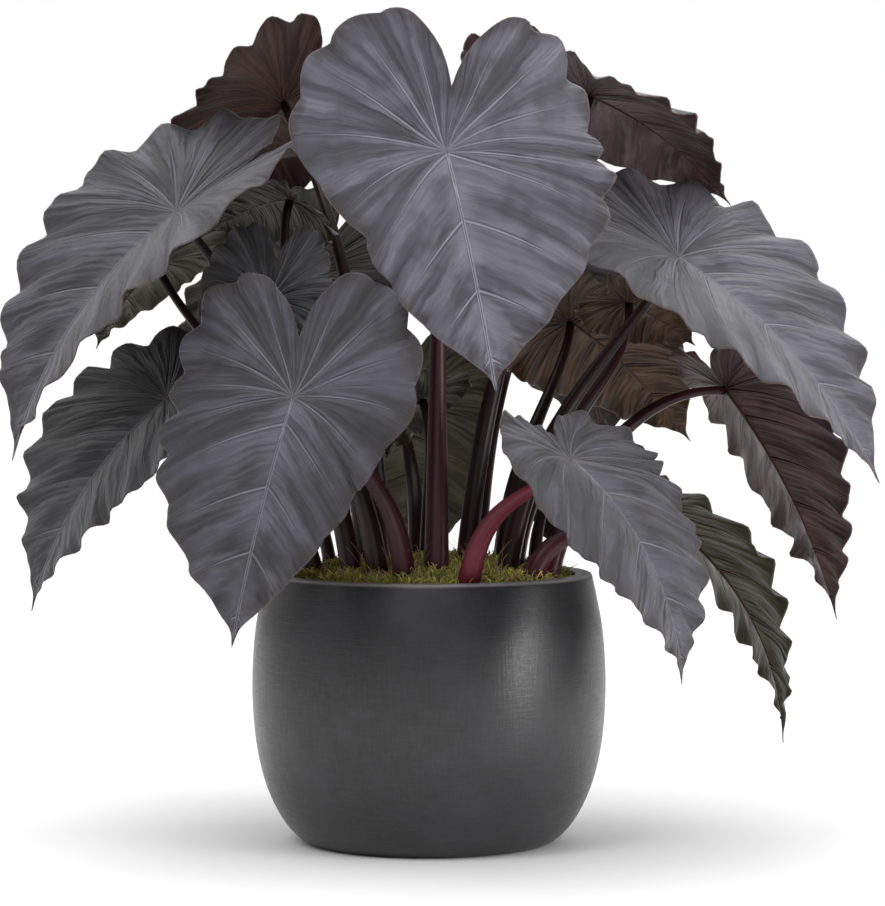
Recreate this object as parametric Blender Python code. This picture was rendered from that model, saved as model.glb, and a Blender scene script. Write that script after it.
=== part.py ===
"""A dark elephant ear plant standing in a round, filled pot.

Metres, +Z up. The origin is the middle of the pot's flat underside, and the plant's front
faces -Y. Every leaf is two pieces, a petiole that stands in a plain hole in the moss and the
soil, and a blade that the petiole's end carries at a point inside the heart-shaped outline.
"""

import math
import random
from dataclasses import dataclass

import bmesh
import bpy
from mathutils import Vector
from mathutils.bvhtree import BVHTree

# Clearance that neighbouring pieces keep
GAP = 0.0003

# Pot: outer and inner wall as (height, radius), both from the bottom up
POT_HEIGHT = 0.305
POT_BELLY = 0.200
POT_FOOT = 0.130
POT_OUTER = (
    (0.0, POT_FOOT),
    (0.0025, 0.141),
    (0.012, 0.154),
    (0.030, 0.168),
    (0.056, 0.181),
    (0.086, 0.1905),
    (0.122, 0.197),
    (0.165, POT_BELLY),
    (0.205, 0.1995),
    (0.245, 0.196),
    (0.280, 0.1895),
    (0.3025, 0.1845),
    (POT_HEIGHT, 0.1825),
)
POT_INNER = (
    (0.022, 0.130),
    (0.045, 0.159),
    (0.092, 0.1765),
    (0.150, 0.184),
    (0.220, 0.183),
    (0.285, 0.1705),
    (0.303, 0.1640),
    (POT_HEIGHT, 0.1655),
)
TURNED_STEPS = 36

# Soil and the moss cushion on it
SOIL_TOP = 0.283
SOIL_LOW = 0.0222
MOSS_RADIUS = 0.1620
MOSS_EDGE = 0.297
MOSS_CROWN = 0.016
MOSS_BUMP = 0.0035
MOSS_RINGS = 5

# Petioles
PETIOLE_SIDES = 8
PETIOLE_DEPTH = 0.050
PETIOLE_STRAIGHT = 0.034
PETIOLE_BENDS = 8
PETIOLE_NECK = 0.0046
PETIOLE_TAPER = 1.1
PETIOLE_KNOB = 0.45
PETIOLE_BOW = 0.30
PETIOLE_LIFT = 0.39
SEAT_GAP = 0.0007
SEAT_LOOK = 0.03
SEAT_SLANT = 0.35
HOLE_SIDES = 10
HOLE_RISE = 0.02

# Blades
BLADE_THICKNESS = 0.0012
OUTLINE = (
    (-0.30, 0.00),
    (-0.40, 0.05),
    (-0.52, 0.16),
    (-0.60, 0.36),
    (-0.56, 0.60),
    (-0.42, 0.82),
    (-0.18, 0.96),
    (0.06, 1.00),
    (0.30, 0.95),
    (0.52, 0.78),
    (0.72, 0.51),
    (0.87, 0.22),
    (0.945, 0.055),
    (1.00, 0.00),
)
OUTLINE_STEPS = 12
VEIN_SLOPE = 0.70
VEIN_BOW = 0.10
ROWS = (0.0, 0.5, 0.8, 1.0)
ROW_CUTS = (0, 0, 1, 2)
BROAD_SWINGS = 2.3
BROAD_LIFTS = 1.7
BROAD_LIFT = 0.8
LOBE_BLEND = (-0.2, 0.3)
NARROW_REACH = 0.3
CALM_TIP = 5.0
CALM_SINUS = 4.0
CANT_REACH = 0.25


@dataclass(frozen=True)
class Leaf:
    """One leaf: where it stands, where its blade hangs and how the blade is bent.

    The blade runs from the joint, where the petiole carries it, to the tip, with its upper
    side towards face. Sizes on the blade are shares of its length, and angles are degrees.

    root: where the petiole's foot stands, at PETIOLE_DEPTH under the soil's top.
    half, lobes: half the width, and how long the two back lobes are drawn.
    cant: how far the lobes turn in the blade's plane.
    droop: how far the midrib bends down from the joint to the tip.
    nape: how far the lobes bend back, or forward if negative.
    fold, roll: how steeply both halves rise from the midrib, and how far they curl down.
    slim, trim: how much narrower one half's front or back is; the sign picks the half.
    wave, scallop, waves: the ripple's height, the margin's scallops and their number.
    girth, lean, arrive: the petiole's foot radius, its lean and its direction at the blade.
    """

    name: str
    root: tuple
    joint: tuple
    tip: tuple
    face: tuple
    half: float = 0.58
    lobes: float = 1.0
    cant: float = 0.0
    droop: float = 40.0
    nape: float = 0.0
    fold: float = 12.0
    roll: float = 25.0
    slim: float = 0.0
    trim: float = 0.0
    wave: float = 0.020
    scallop: float = 0.030
    waves: int = 10
    girth: float = 0.0125
    lean: float = 0.34
    arrive: tuple = None


LEAVES = (
    Leaf("crown", (0.008, -0.085), (0.020, -0.205, 0.770), (0.071, -0.240, 0.520),
         (0.10, -0.97, 0.10), half=0.64, lobes=0.98, cant=-16, droop=34, nape=-50, fold=4,
         roll=28, slim=0.32, girth=0.0140),
    Leaf("left_upper", (-0.075, -0.060), (-0.280, -0.060, 0.710), (-0.454, -0.120, 0.446),
         (-0.70, -0.53, 0.48), half=0.46, lobes=0.9, droop=41, nape=20, fold=18, roll=10),
    Leaf("left_lower", (-0.112, -0.030), (-0.290, -0.070, 0.502), (-0.434, -0.120, 0.279),
         (-0.70, -0.55, 0.45), half=0.48, lobes=0.6, droop=41, nape=10, fold=14, roll=10),
    Leaf("left_front", (-0.022, -0.105), (-0.143, -0.250, 0.509), (-0.205, -0.290, 0.254),
         (-0.20, -0.95, 0.15), half=0.52, lobes=0.82, cant=10, droop=25, nape=-40, fold=4,
         roll=30, slim=-0.32, lean=0.15),
    Leaf("right_upper", (0.075, -0.055), (0.279, -0.030, 0.660), (0.494, -0.090, 0.419),
         (0.653, -0.47, 0.593), half=0.55, lobes=0.8, droop=34, nape=20, fold=11, roll=10),
    Leaf("right_front", (0.030, -0.125), (0.151, -0.270, 0.444), (0.265, -0.310, 0.218),
         (0.754, -0.50, 0.424), half=0.51, lobes=0.58, cant=-30, droop=50, nape=20, fold=11,
         roll=20, trim=0.36),
    Leaf("high_left", (-0.045, -0.020), (-0.169, 0.130, 0.842), (-0.267, 0.220, 0.646),
         (-0.59, 0.77, 0.25), half=0.50, lobes=0.9, droop=40),
    Leaf("high_right", (0.035, -0.020), (0.184, 0.050, 0.846), (0.347, 0.130, 0.728),
         (0.40, 0.42, 0.81), half=0.50, lobes=1.1, droop=30, nape=-35, fold=-5, roll=15),
    Leaf("right_hanging", (0.114, -0.050), (0.339, 0.045, 0.511), (0.468, 0.075, 0.253),
         (0.80, 0.45, 0.40), half=0.40, lobes=0.32, droop=25, nape=-20, fold=14, roll=5,
         arrive=(0.95, 0.15, -0.05)),
    Leaf("right_low", (0.088, -0.092), (0.247, -0.055, 0.379), (0.395, -0.065, 0.128),
         (0.85, 0.25, 0.50), half=0.40, lobes=0.28, droop=58, nape=-30, fold=8, roll=5),
    Leaf("right_middle", (0.076, 0.016), (0.165, 0.150, 0.587), (0.310, 0.250, 0.448),
         (0.134, 0.70, 0.701), half=0.43, lobes=0.7, droop=30, fold=0, roll=15),
    Leaf("right_inner", (0.085, -0.022), (0.227, 0.040, 0.610), (0.306, 0.100, 0.562),
         (-0.25, 0.55, 0.78), half=0.48, lobes=0.8, droop=20, fold=5, roll=20),
    Leaf("left_inner", (-0.066, 0.014), (-0.156, 0.000, 0.726), (-0.256, 0.120, 0.692),
         (0.20, 0.60, 0.75), half=0.42, lobes=0.35, droop=30, fold=0),
    Leaf("left_nest", (-0.048, -0.072), (-0.174, -0.150, 0.609), (-0.192, -0.190, 0.468),
         (-0.10, -0.80, 0.55), half=0.48, droop=20, fold=25, roll=10),
    Leaf("left_far", (-0.098, 0.015), (-0.310, 0.060, 0.652), (-0.385, 0.110, 0.560),
         (-0.50, 0.50, 0.70), half=0.50, droop=30, waves=7, girth=0.0085),
    Leaf("middle_small", (-0.002, 0.015), (-0.008, 0.055, 0.500), (-0.050, 0.110, 0.430),
         (-0.30, 0.50, 0.80), half=0.50, droop=30, waves=7, girth=0.0085),
    Leaf("right_small", (0.116, 0.030), (0.141, 0.060, 0.402), (0.140, 0.085, 0.327),
         (0.30, 0.90, 0.20), half=0.42, lobes=0.6, droop=30, waves=7, girth=0.0085),
    Leaf("back_left", (-0.040, 0.055), (-0.150, 0.290, 0.640), (-0.235, 0.400, 0.415),
         (-0.45, 0.75, 0.48), half=0.52, droop=38),
    Leaf("back_right", (0.048, 0.094), (0.140, 0.350, 0.655), (0.220, 0.470, 0.430),
         (0.40, 0.78, 0.48), half=0.52, droop=38),
    Leaf("back_low", (-0.010, 0.104), (-0.030, 0.290, 0.480), (-0.025, 0.375, 0.265),
         (0.0, 0.88, 0.47), half=0.44, lobes=0.8, droop=38),
)

COLOURS = {
    "pot": ((0.045, 0.045, 0.048, 1.0), 0.6),
    "soil": ((0.030, 0.020, 0.014, 1.0), 0.95),
    "moss": ((0.110, 0.115, 0.020, 1.0), 0.95),
    "petiole": ((0.045, 0.012, 0.018, 1.0), 0.4),
    "blade": ((0.115, 0.110, 0.135, 1.0), 0.6),
}


def clear_scene():
    """Remove everything that the start-up file put in the scene."""
    for thing in list(bpy.data.objects):
        bpy.data.objects.remove(thing, do_unlink=True)


def finish_material(name):
    """Return the material of that name, made once."""
    material = bpy.data.materials.get(name)
    if material is None:
        material = bpy.data.materials.new(name)
        material.use_nodes = True
        shader = material.node_tree.nodes["Principled BSDF"]
        colour, roughness = COLOURS[name]
        shader.inputs["Base Color"].default_value = colour
        shader.inputs["Roughness"].default_value = roughness
        shader.inputs["Metallic"].default_value = 0.0
    return material


def add_object(name, bm, material):
    """Turn a bmesh into a named object in the scene."""
    mesh = bpy.data.meshes.new(name)
    bm.to_mesh(mesh)
    bm.free()
    thing = bpy.data.objects.new(name, mesh)
    bpy.context.scene.collection.objects.link(thing)
    if material:
        mesh.materials.append(finish_material(material))
    return thing


def turned(profile, steps):
    """Spin a closed (radius, height) profile once round Z; both its ends lie on the axis."""
    bm = bmesh.new()
    verts = [bm.verts.new((radius, 0.0, height)) for radius, height in profile]
    edges = [bm.edges.new(pair) for pair in zip(verts, verts[1:])]
    bmesh.ops.spin(bm, geom=verts + edges, cent=(0, 0, 0), axis=(0, 0, 1),
                   angle=2 * math.pi, steps=steps, use_merge=True)
    bmesh.ops.remove_doubles(bm, verts=bm.verts, dist=1e-6)
    bmesh.ops.recalc_face_normals(bm, faces=bm.faces)
    return bm


def make_pot():
    """The pot: a turned wall with a rounded lip and a flat foot."""
    outer = [(radius, height) for height, radius in POT_OUTER]
    inner = [(radius, height) for height, radius in reversed(POT_INNER)]
    floor = (0.0, POT_INNER[0][0])
    return add_object("pot", turned([(0.0, 0.0)] + outer + inner + [floor], TURNED_STEPS), "pot")


def inner_radius(height):
    """The pot's inner radius at a height, straight between the profile's points."""
    for (low, near), (high, far) in zip(POT_INNER, POT_INNER[1:]):
        if height <= high:
            share = (height - low) / (high - low)
            return near + (far - near) * share
    return POT_INNER[-1][1]


def make_soil():
    """The soil: it fills the pot to a little below the lip."""
    heights = [height for height, _ in POT_INNER if SOIL_LOW < height < SOIL_TOP] + [SOIL_TOP]
    wall = [(inner_radius(height) - 2 * GAP, height) for height in heights]
    low = (POT_INNER[0][1] - 2 * GAP, SOIL_LOW + GAP)
    profile = [(0.0, low[1]), low] + wall + [(0.0, SOIL_TOP)]
    return add_object("soil", turned(profile, TURNED_STEPS), "soil")


def moss_height(x, y):
    """The moss surface: a low dome with soft humps."""
    reach = min(1.0, math.hypot(x, y) / MOSS_RADIUS)
    humps = (math.sin(61 * x + 1.3) * math.cos(53 * y - 0.4)
             + 0.6 * math.sin(97 * (x + y)) * math.cos(83 * (x - y) + 0.9))
    edge = min(1.0, (1.0 - reach) * 5.0)
    return MOSS_EDGE + MOSS_CROWN * (1.0 - reach ** 2) + MOSS_BUMP * humps * edge


def make_moss():
    """The moss: a cushion over the soil, raised by a formula."""
    base = SOIL_TOP + GAP
    radii = [MOSS_RADIUS * (1.0 - (ring / MOSS_RINGS) ** 1.2) for ring in range(MOSS_RINGS + 1)]
    profile = [(0.0, base), (MOSS_RADIUS, base)] + [(radius, MOSS_EDGE) for radius in radii]
    bm = turned(profile, TURNED_STEPS)
    for vert in bm.verts:
        if vert.co.z > base + GAP:
            vert.co.z = moss_height(vert.co.x, vert.co.y)
    return add_object("moss", bm, "moss")


def smooth_through(points, steps):
    """A smooth curve through 2-D points, each stretch cut into equal steps (Catmull-Rom)."""
    curve = []
    last = len(points) - 1
    for index in range(last):
        before = points[max(index - 1, 0)]
        start, end = points[index], points[index + 1]
        after = points[min(index + 2, last)]
        for step in range(steps):
            t = step / steps
            curve.append(tuple(
                0.5 * (2 * p1 + (p2 - p0) * t + (2 * p0 - 5 * p1 + 4 * p2 - p3) * t ** 2
                       + (3 * p1 - p0 - 3 * p2 + p3) * t ** 3)
                for p0, p1, p2, p3 in zip(before, start, end, after)))
    curve.append(points[last])
    return curve


def ease(share):
    """A smooth step from 0 to 1."""
    share = min(1.0, max(0.0, share))
    return share * share * (3 - 2 * share)


def calm(share):
    """How far the margin's waves are grown at a share of the way from sinus to tip."""
    return min(1.0, share * CALM_SINUS) * min(1.0, (1.0 - share) * CALM_TIP)


class Outline:
    """Half of a blade's outline, from the sinus to the drip tip, by share of its length."""

    def __init__(self, leaf):
        points = [(a * leaf.lobes if a < 0 else a, b * leaf.half) for a, b in OUTLINE]
        self.curve = smooth_through(points, OUTLINE_STEPS)
        self.reach = [0.0]
        for one, two in zip(self.curve, self.curve[1:]):
            self.reach.append(self.reach[-1] + math.dist(one, two))

    def at(self, share):
        """The point at a share of the outline's length."""
        goal = share * self.reach[-1]
        for index, (low, high) in enumerate(zip(self.reach, self.reach[1:])):
            if goal <= high or index == len(self.reach) - 2:
                part = (goal - low) / (high - low)
                one, two = self.curve[index], self.curve[index + 1]
                return (one[0] + (two[0] - one[0]) * part, one[1] + (two[1] - one[1]) * part)
        return self.curve[-1]


class Blade:
    """The shape of one blade: flat outline, veins and waves, then its bend in space."""

    def __init__(self, leaf):
        self.leaf = leaf
        self.outline = Outline(leaf)
        draw = random.Random(leaf.name)
        self.phases = [draw.uniform(0, 2 * math.pi) for _ in range(4)]
        joint, tip = Vector(leaf.joint), Vector(leaf.tip)
        self.joint = joint
        self.along = (tip - joint).normalized()
        face = Vector(leaf.face)
        self.face = (face - face.dot(self.along) * self.along).normalized()
        self.side = self.along.cross(self.face)
        self.bend = math.radians(leaf.droop)
        self.length = (tip - joint).length * (self.bend / 2) / math.sin(self.bend / 2)

    def flat(self, place, out):
        """The flat point on the vein at a place round the margin, out from 0 to 1."""
        side = 1.0 if place >= 0 else -1.0
        share = 1.0 - abs(place)
        a, b = self.outline.at(share)
        bump = 0.5 - 0.5 * math.cos(2 * math.pi * self.leaf.waves * share)
        swing = 0.5 * math.sin(2 * math.pi * BROAD_SWINGS * share
                               + self.phases[0 if side > 0 else 1])
        grow = 1.0 + self.leaf.scallop / self.leaf.half * (bump + swing) * calm(share)
        start = max(0.0, a - VEIN_SLOPE * b)
        front = ease((a - LOBE_BLEND[0]) / (LOBE_BLEND[1] - LOBE_BLEND[0]))
        slim = 1.0 - max(0.0, self.leaf.slim * side) * front
        trim = 1.0 - max(0.0, self.leaf.trim * side) * (1.0 - front)
        end_a = a
        if a < NARROW_REACH:
            end_a *= grow
        if a < 0.0:
            end_a *= trim
        end_b = b * grow * slim * trim
        mid_a = (start + end_a) / 2 - VEIN_BOW * end_b
        mid_b = end_b / 2
        keep, turn, go = (1 - out) ** 2, 2 * out * (1 - out), out ** 2
        a, b = keep * start + turn * mid_a + go * end_a, side * (turn * mid_b + go * end_b)
        sway = math.radians(self.leaf.cant) * ease((CANT_REACH - a) / (2 * CANT_REACH))
        return (a * math.cos(sway) + b * math.sin(sway), b * math.cos(sway) - a * math.sin(sway))

    def lift(self, a, b, place, out):
        """Bend a flat point into space."""
        leaf = self.leaf
        half_bend = self.bend / 2
        pace = self.bend if a > 0 else math.radians(leaf.nape) or 1e-6
        tilt = half_bend - pace * a
        go = (math.sin(half_bend) - math.sin(tilt)) / pace
        up = (math.cos(tilt) - math.cos(half_bend)) / pace
        normal = self.face * math.cos(tilt) - self.along * math.sin(tilt)
        rise, drop = math.radians(leaf.fold), math.radians(leaf.roll) / leaf.half
        angle = rise - drop * abs(b)
        wide = (math.sin(rise) - math.sin(angle)) / drop
        high = (math.cos(angle) - math.cos(rise)) / drop
        share = 1.0 - abs(place)
        phase = self.phases[2 if place >= 0 else 3]
        ripple = leaf.wave * calm(share) * (
            BROAD_LIFT * math.sin(2 * math.pi * BROAD_LIFTS * share + phase) * out ** 2
            - math.cos(2 * math.pi * leaf.waves * share) * out ** 3)
        side = self.side if b >= 0 else -self.side
        out_of = normal * math.cos(angle) - side * math.sin(angle)
        point = (self.along * go + self.face * up + side * wide + normal * high
                 + out_of * ripple)
        return self.joint + self.length * point


def make_blade(leaf):
    """A thin blade: a grid of veins and rows, laid flat, cut into triangles, then bent."""
    blade = Blade(leaf)
    bm = bmesh.new()
    row_count = len(ROWS) - 1
    bmesh.ops.create_grid(bm, x_segments=2 * leaf.waves, y_segments=row_count, size=1)
    for row, cuts in enumerate(ROW_CUTS):
        level = -1 + 2 * row / row_count
        edges = [edge for edge in bm.edges
                 if all(abs(vert.co.y - level) < 1e-4 for vert in edge.verts)]
        if cuts:
            bmesh.ops.bisect_edges(bm, edges=edges, cuts=cuts)
    along = bm.verts.layers.float.new("place")
    out = bm.verts.layers.float.new("out")
    for vert in bm.verts:
        row = (vert.co.y + 1) / 2 * row_count
        vert[along] = vert.co.x
        vert[out] = ROWS[round(row)]
        a, b = blade.flat(vert.co.x, ROWS[round(row)])
        vert.co = (a, b, 0.0)
    bmesh.ops.remove_doubles(bm, verts=bm.verts, dist=1e-5)
    bmesh.ops.triangulate(bm, faces=bm.faces, quad_method="BEAUTY", ngon_method="BEAUTY")
    for vert in bm.verts:
        vert.co = blade.lift(vert.co.x, vert.co.y, vert[along], vert[out])
    bmesh.ops.recalc_face_normals(bm, faces=bm.faces)
    tree = BVHTree.FromBMesh(bm)
    thing = add_object(leaf.name + "_blade", bm, "blade")
    thin = thing.modifiers.new("Thickness", "SOLIDIFY")
    thin.thickness = BLADE_THICKNESS
    thin.offset = 0.0
    return blade, tree


def petiole_path(leaf, blade):
    """The petiole's centre line, from its foot in the soil to the blade."""
    foot = Vector((leaf.root[0], leaf.root[1], SOIL_TOP - PETIOLE_DEPTH))
    span = blade.joint - foot
    lean = Vector((span.x * leaf.lean, span.y * leaf.lean, span.z)).normalized()
    bend = foot + lean * (PETIOLE_DEPTH + PETIOLE_STRAIGHT)
    if leaf.arrive:
        arrive = Vector(leaf.arrive).normalized()
    else:
        arrive = (blade.face + Vector((0, 0, PETIOLE_LIFT))).normalized()
    span = (blade.joint - bend).length
    knob, neck = bend + lean * span * PETIOLE_KNOB, blade.joint - arrive * span * PETIOLE_BOW
    path = [(foot, lean), (bend, lean)]
    for step in range(1, PETIOLE_BENDS + 1):
        t = step / PETIOLE_BENDS
        s = 1 - t
        point = (s ** 3 * bend + 3 * s * s * t * knob + 3 * s * t * t * neck
                 + t ** 3 * blade.joint)
        turn = (3 * s * s * (knob - bend) + 6 * s * t * (neck - knob)
                + 3 * t * t * (blade.joint - neck))
        path.append((point, turn.normalized()))
    return path


def make_petiole(leaf, blade, tree):
    """A tapering petiole whose end is shaped to the underside of the blade."""
    path = petiole_path(leaf, blade)
    reach = [0.0]
    for (one, _), (two, _) in zip(path, path[1:]):
        reach.append(reach[-1] + (two - one).length)
    bm = bmesh.new()
    made = bmesh.ops.create_circle(bm, segments=PETIOLE_SIDES, radius=1.0, cap_ends=True)
    ring = made["verts"]
    across = path[0][1].orthogonal()
    straight = reach[1]
    rings = []
    for index, (point, heading) in enumerate(path):
        across = (across - across.dot(heading) * heading).normalized()
        beside = heading.cross(across)
        share = max(0.0, (reach[index] - straight) / (reach[-1] - straight))
        radius = PETIOLE_NECK + (leaf.girth - PETIOLE_NECK) * (1 - share) ** PETIOLE_TAPER
        places = []
        for side in range(PETIOLE_SIDES):
            turn = 2 * math.pi * side / PETIOLE_SIDES
            places.append(point + radius * (across * math.cos(turn) + beside * math.sin(turn)))
        rings.append(places)
    heading = path[-1][1]
    rings[-1] = [seat(place, heading, tree) for place in rings[-1]]
    for index, places in enumerate(rings):
        if index:
            edges = [edge for edge in bm.edges if edge.verts[0] in ring and edge.verts[1] in ring]
            grown = bmesh.ops.extrude_edge_only(bm, edges=edges)["geom"]
            fresh = {vert for vert in grown if isinstance(vert, bmesh.types.BMVert)}
            ring = [next(edge.other_vert(vert) for edge in vert.link_edges
                         if edge.other_vert(vert) in fresh) for vert in ring]
        for vert, place in zip(ring, places):
            vert.co = place
    top = bm.verts.new(seat(path[-1][0], heading, tree))
    for one, two in zip(ring, ring[1:] + ring[:1]):
        bm.faces.new((one, two, top))
    bmesh.ops.recalc_face_normals(bm, faces=bm.faces)
    thing = add_object(leaf.name + "_petiole", bm, "petiole")
    thing.data.shade_smooth()
    return path[0]


def seat(place, heading, tree):
    """Where a line up the petiole stops, just under the blade."""
    start = place - heading * SEAT_LOOK
    hit, normal, _, _ = tree.ray_cast(start, heading)
    if hit is None:
        raise ValueError("a petiole misses its blade")
    slant = max(SEAT_SLANT, abs(normal.dot(heading)))
    return hit - heading * ((BLADE_THICKNESS / 2 + SEAT_GAP) / slant)


def cut_holes(stems, bodies):
    """Cut a plain hole for every petiole into the soil and the moss."""
    holes = bmesh.new()
    for leaf, (foot, lean) in stems:
        radius = (leaf.girth + GAP) / math.cos(math.pi / HOLE_SIDES)
        depth = PETIOLE_DEPTH + PETIOLE_STRAIGHT + HOLE_RISE
        made = bmesh.ops.create_cone(holes, cap_ends=True, segments=HOLE_SIDES, radius1=radius,
                                     radius2=radius, depth=depth)
        turn = lean.to_track_quat("Z", "Y").to_matrix().to_4x4()
        bmesh.ops.transform(holes, matrix=turn, verts=made["verts"])
        middle = foot + lean * (depth / 2 - GAP)
        bmesh.ops.translate(holes, vec=middle, verts=made["verts"])
    cutter = add_object("stem_holes", holes, None)
    cutter.hide_render = True
    cutter.display_type = "WIRE"
    for body in bodies:
        cut = body.modifiers.new("Stem holes", "BOOLEAN")
        cut.operation = "DIFFERENCE"
        cut.object = cutter


def main():
    """Model the pot, what fills it, and the leaves."""
    clear_scene()
    make_pot()
    bodies = [make_soil(), make_moss()]
    stems = []
    for leaf in LEAVES:
        blade, tree = make_blade(leaf)
        stems.append((leaf, make_petiole(leaf, blade, tree)))
    cut_holes(stems, bodies)


main()
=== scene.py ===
"""The looks of a dark elephant ear plant in a round pot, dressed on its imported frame.

Metres, +Z up. The origin is the middle of the pot's flat underside, and the plant's front
faces -Y. Every leaf is rebuilt on the curve that its solid follows, with finer waves, raised
veins and two different sides, and moss strands cover the cushion that fills the pot.
"""

import bisect
import logging
import math
import random
from dataclasses import dataclass, field
from enum import Enum
from typing import Callable, Optional, Sequence

import bmesh
import bpy
from mathutils import Matrix, Vector
from mathutils.bvhtree import BVHTree

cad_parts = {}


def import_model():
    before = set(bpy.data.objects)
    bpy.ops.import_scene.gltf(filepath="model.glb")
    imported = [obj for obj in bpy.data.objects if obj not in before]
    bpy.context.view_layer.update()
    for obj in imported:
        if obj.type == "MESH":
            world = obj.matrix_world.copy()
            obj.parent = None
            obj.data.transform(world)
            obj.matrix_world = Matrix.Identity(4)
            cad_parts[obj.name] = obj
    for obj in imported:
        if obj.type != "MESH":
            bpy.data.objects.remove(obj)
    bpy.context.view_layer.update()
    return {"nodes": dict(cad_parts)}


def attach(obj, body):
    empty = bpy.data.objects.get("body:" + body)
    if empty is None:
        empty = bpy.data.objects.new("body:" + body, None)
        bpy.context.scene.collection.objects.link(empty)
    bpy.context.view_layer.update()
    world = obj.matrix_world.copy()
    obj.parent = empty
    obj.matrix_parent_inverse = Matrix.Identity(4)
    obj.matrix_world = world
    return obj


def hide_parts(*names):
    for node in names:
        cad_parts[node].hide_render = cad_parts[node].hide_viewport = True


LOG = logging.getLogger("elephant_ear")
BODY = "root"
MILLIMETRE = 0.001

Point = tuple[float, float]
Colour = tuple[float, float, float, float]


def linear(code: str) -> Colour:
    """Turn an sRGB hex colour into linear light.

    Args:
        code: Six hex digits, with or without a leading hash.

    Returns:
        Red, green, blue and an alpha of 1.
    """
    digits = code.lstrip("#")
    shares = [int(digits[start:start + 2], 16) / 255 for start in (0, 2, 4)]
    red, green, blue = [
        share / 12.92 if share <= 0.04045 else ((share + 0.055) / 1.055) ** 2.4
        for share in shares
    ]
    return (red, green, blue, 1.0)


def ease(share: float) -> float:
    """Return a smooth step from 0 to 1."""
    share = min(1.0, max(0.0, share))
    return share * share * (3 - 2 * share)


def smooth_through(points: Sequence[Point], steps: int) -> list[Point]:
    """Draw a smooth curve through 2-D points (Catmull-Rom).

    Args:
        points: The points that the curve passes.
        steps: How many equal steps each stretch is cut into.

    Returns:
        The curve's points, first and last included.
    """
    curve = []
    last = len(points) - 1
    for index in range(last):
        before = points[max(index - 1, 0)]
        start, end = points[index], points[index + 1]
        after = points[min(index + 2, last)]
        for step in range(steps):
            t = step / steps
            curve.append(tuple(
                0.5 * (2 * p1 + (p2 - p0) * t + (2 * p0 - 5 * p1 + 4 * p2 - p3) * t ** 2
                       + (3 * p1 - p0 - 3 * p2 + p3) * t ** 3)
                for p0, p1, p2, p3 in zip(before, start, end, after)))
    curve.append(points[last])
    return curve


def add_node(tree: bpy.types.NodeTree, kind: str, inputs: Optional[dict] = None,
             **settings: object) -> bpy.types.Node:
    """Add a node with its settings, values and links.

    Args:
        tree: The material's node tree.
        kind: The node's type name.
        inputs: Socket names or numbers, each with a value or another node's output.
        **settings: Properties of the node, set before its inputs.

    Returns:
        The new node.
    """
    node = tree.nodes.new(kind)
    for name, value in settings.items():
        setattr(node, name, value)
    for key, value in (inputs or {}).items():
        if isinstance(value, bpy.types.NodeSocket):
            tree.links.new(value, node.inputs[key])
        else:
            node.inputs[key].default_value = value
    return node


def mix_colours(tree: bpy.types.NodeTree, share: object, first: object,
                second: object) -> bpy.types.NodeSocket:
    """Mix two colours, or sockets that carry colours, by a share.

    Args:
        tree: The material's node tree.
        share: The second colour's share, a number or a socket.
        first: The colour at a share of 0.
        second: The colour at a share of 1.

    Returns:
        The socket with the mixed colour.
    """
    node = add_node(tree, "ShaderNodeMix", {0: share, 6: first, 7: second}, data_type="RGBA")
    return node.outputs[2]


def span(tree: bpy.types.NodeTree, value: bpy.types.NodeSocket, low: float, high: float,
         start: float, end: float) -> bpy.types.NodeSocket:
    """Map a value from one range to another, smoothly and held at both ends.

    Args:
        tree: The material's node tree.
        value: The socket to read.
        low: The value that gives start.
        high: The value that gives end.
        start: The result at low.
        end: The result at high.

    Returns:
        The socket with the result.
    """
    node = add_node(tree, "ShaderNodeMapRange",
                    {"Value": value, "From Min": low, "From Max": high, "To Min": start,
                     "To Max": end}, interpolation_type="SMOOTHSTEP")
    return node.outputs["Result"]


def calculate(tree: bpy.types.NodeTree, operation: str, first: object,
              second: object) -> bpy.types.NodeSocket:
    """Return the socket of one sum, product or other step of arithmetic."""
    node = add_node(tree, "ShaderNodeMath", {0: first, 1: second}, operation=operation)
    return node.outputs[0]


def new_material(name: str, roughness: float, **constants: float) -> bpy.types.Material:
    """Start a material with one Principled shader.

    Args:
        name: The finish's name.
        roughness: The shader's roughness where nothing drives it.
        **constants: Other shader inputs by name, with _ for a space.

    Returns:
        The material, whose shader is the node called Principled BSDF.
    """
    material = bpy.data.materials.new(name)
    material.use_nodes = True
    shader = material.node_tree.nodes["Principled BSDF"]
    shader.inputs["Roughness"].default_value = roughness
    for key, value in constants.items():
        shader.inputs[key.replace("_", " ")].default_value = value
    return material


def stretched_noise(tree: bpy.types.NodeTree, vector: bpy.types.NodeSocket, scale: Vector,
                    detail: float = 3.0, distortion: float = 0.0) -> bpy.types.NodeSocket:
    """Make a noise whose cells are stretched by a scale for each axis.

    Args:
        tree: The material's node tree.
        vector: The coordinates that the noise is read at.
        scale: How many cells fit in one unit of each axis.
        detail: How many finer layers are added.
        distortion: How far the cells are twisted.

    Returns:
        The socket with the noise's value.
    """
    mapping = add_node(tree, "ShaderNodeMapping", {"Vector": vector, "Scale": scale})
    noise = add_node(tree, "ShaderNodeTexNoise",
                     {"Vector": mapping.outputs[0], "Scale": 1.0, "Detail": detail,
                      "Distortion": distortion})
    return noise.outputs["Fac"]


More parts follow.
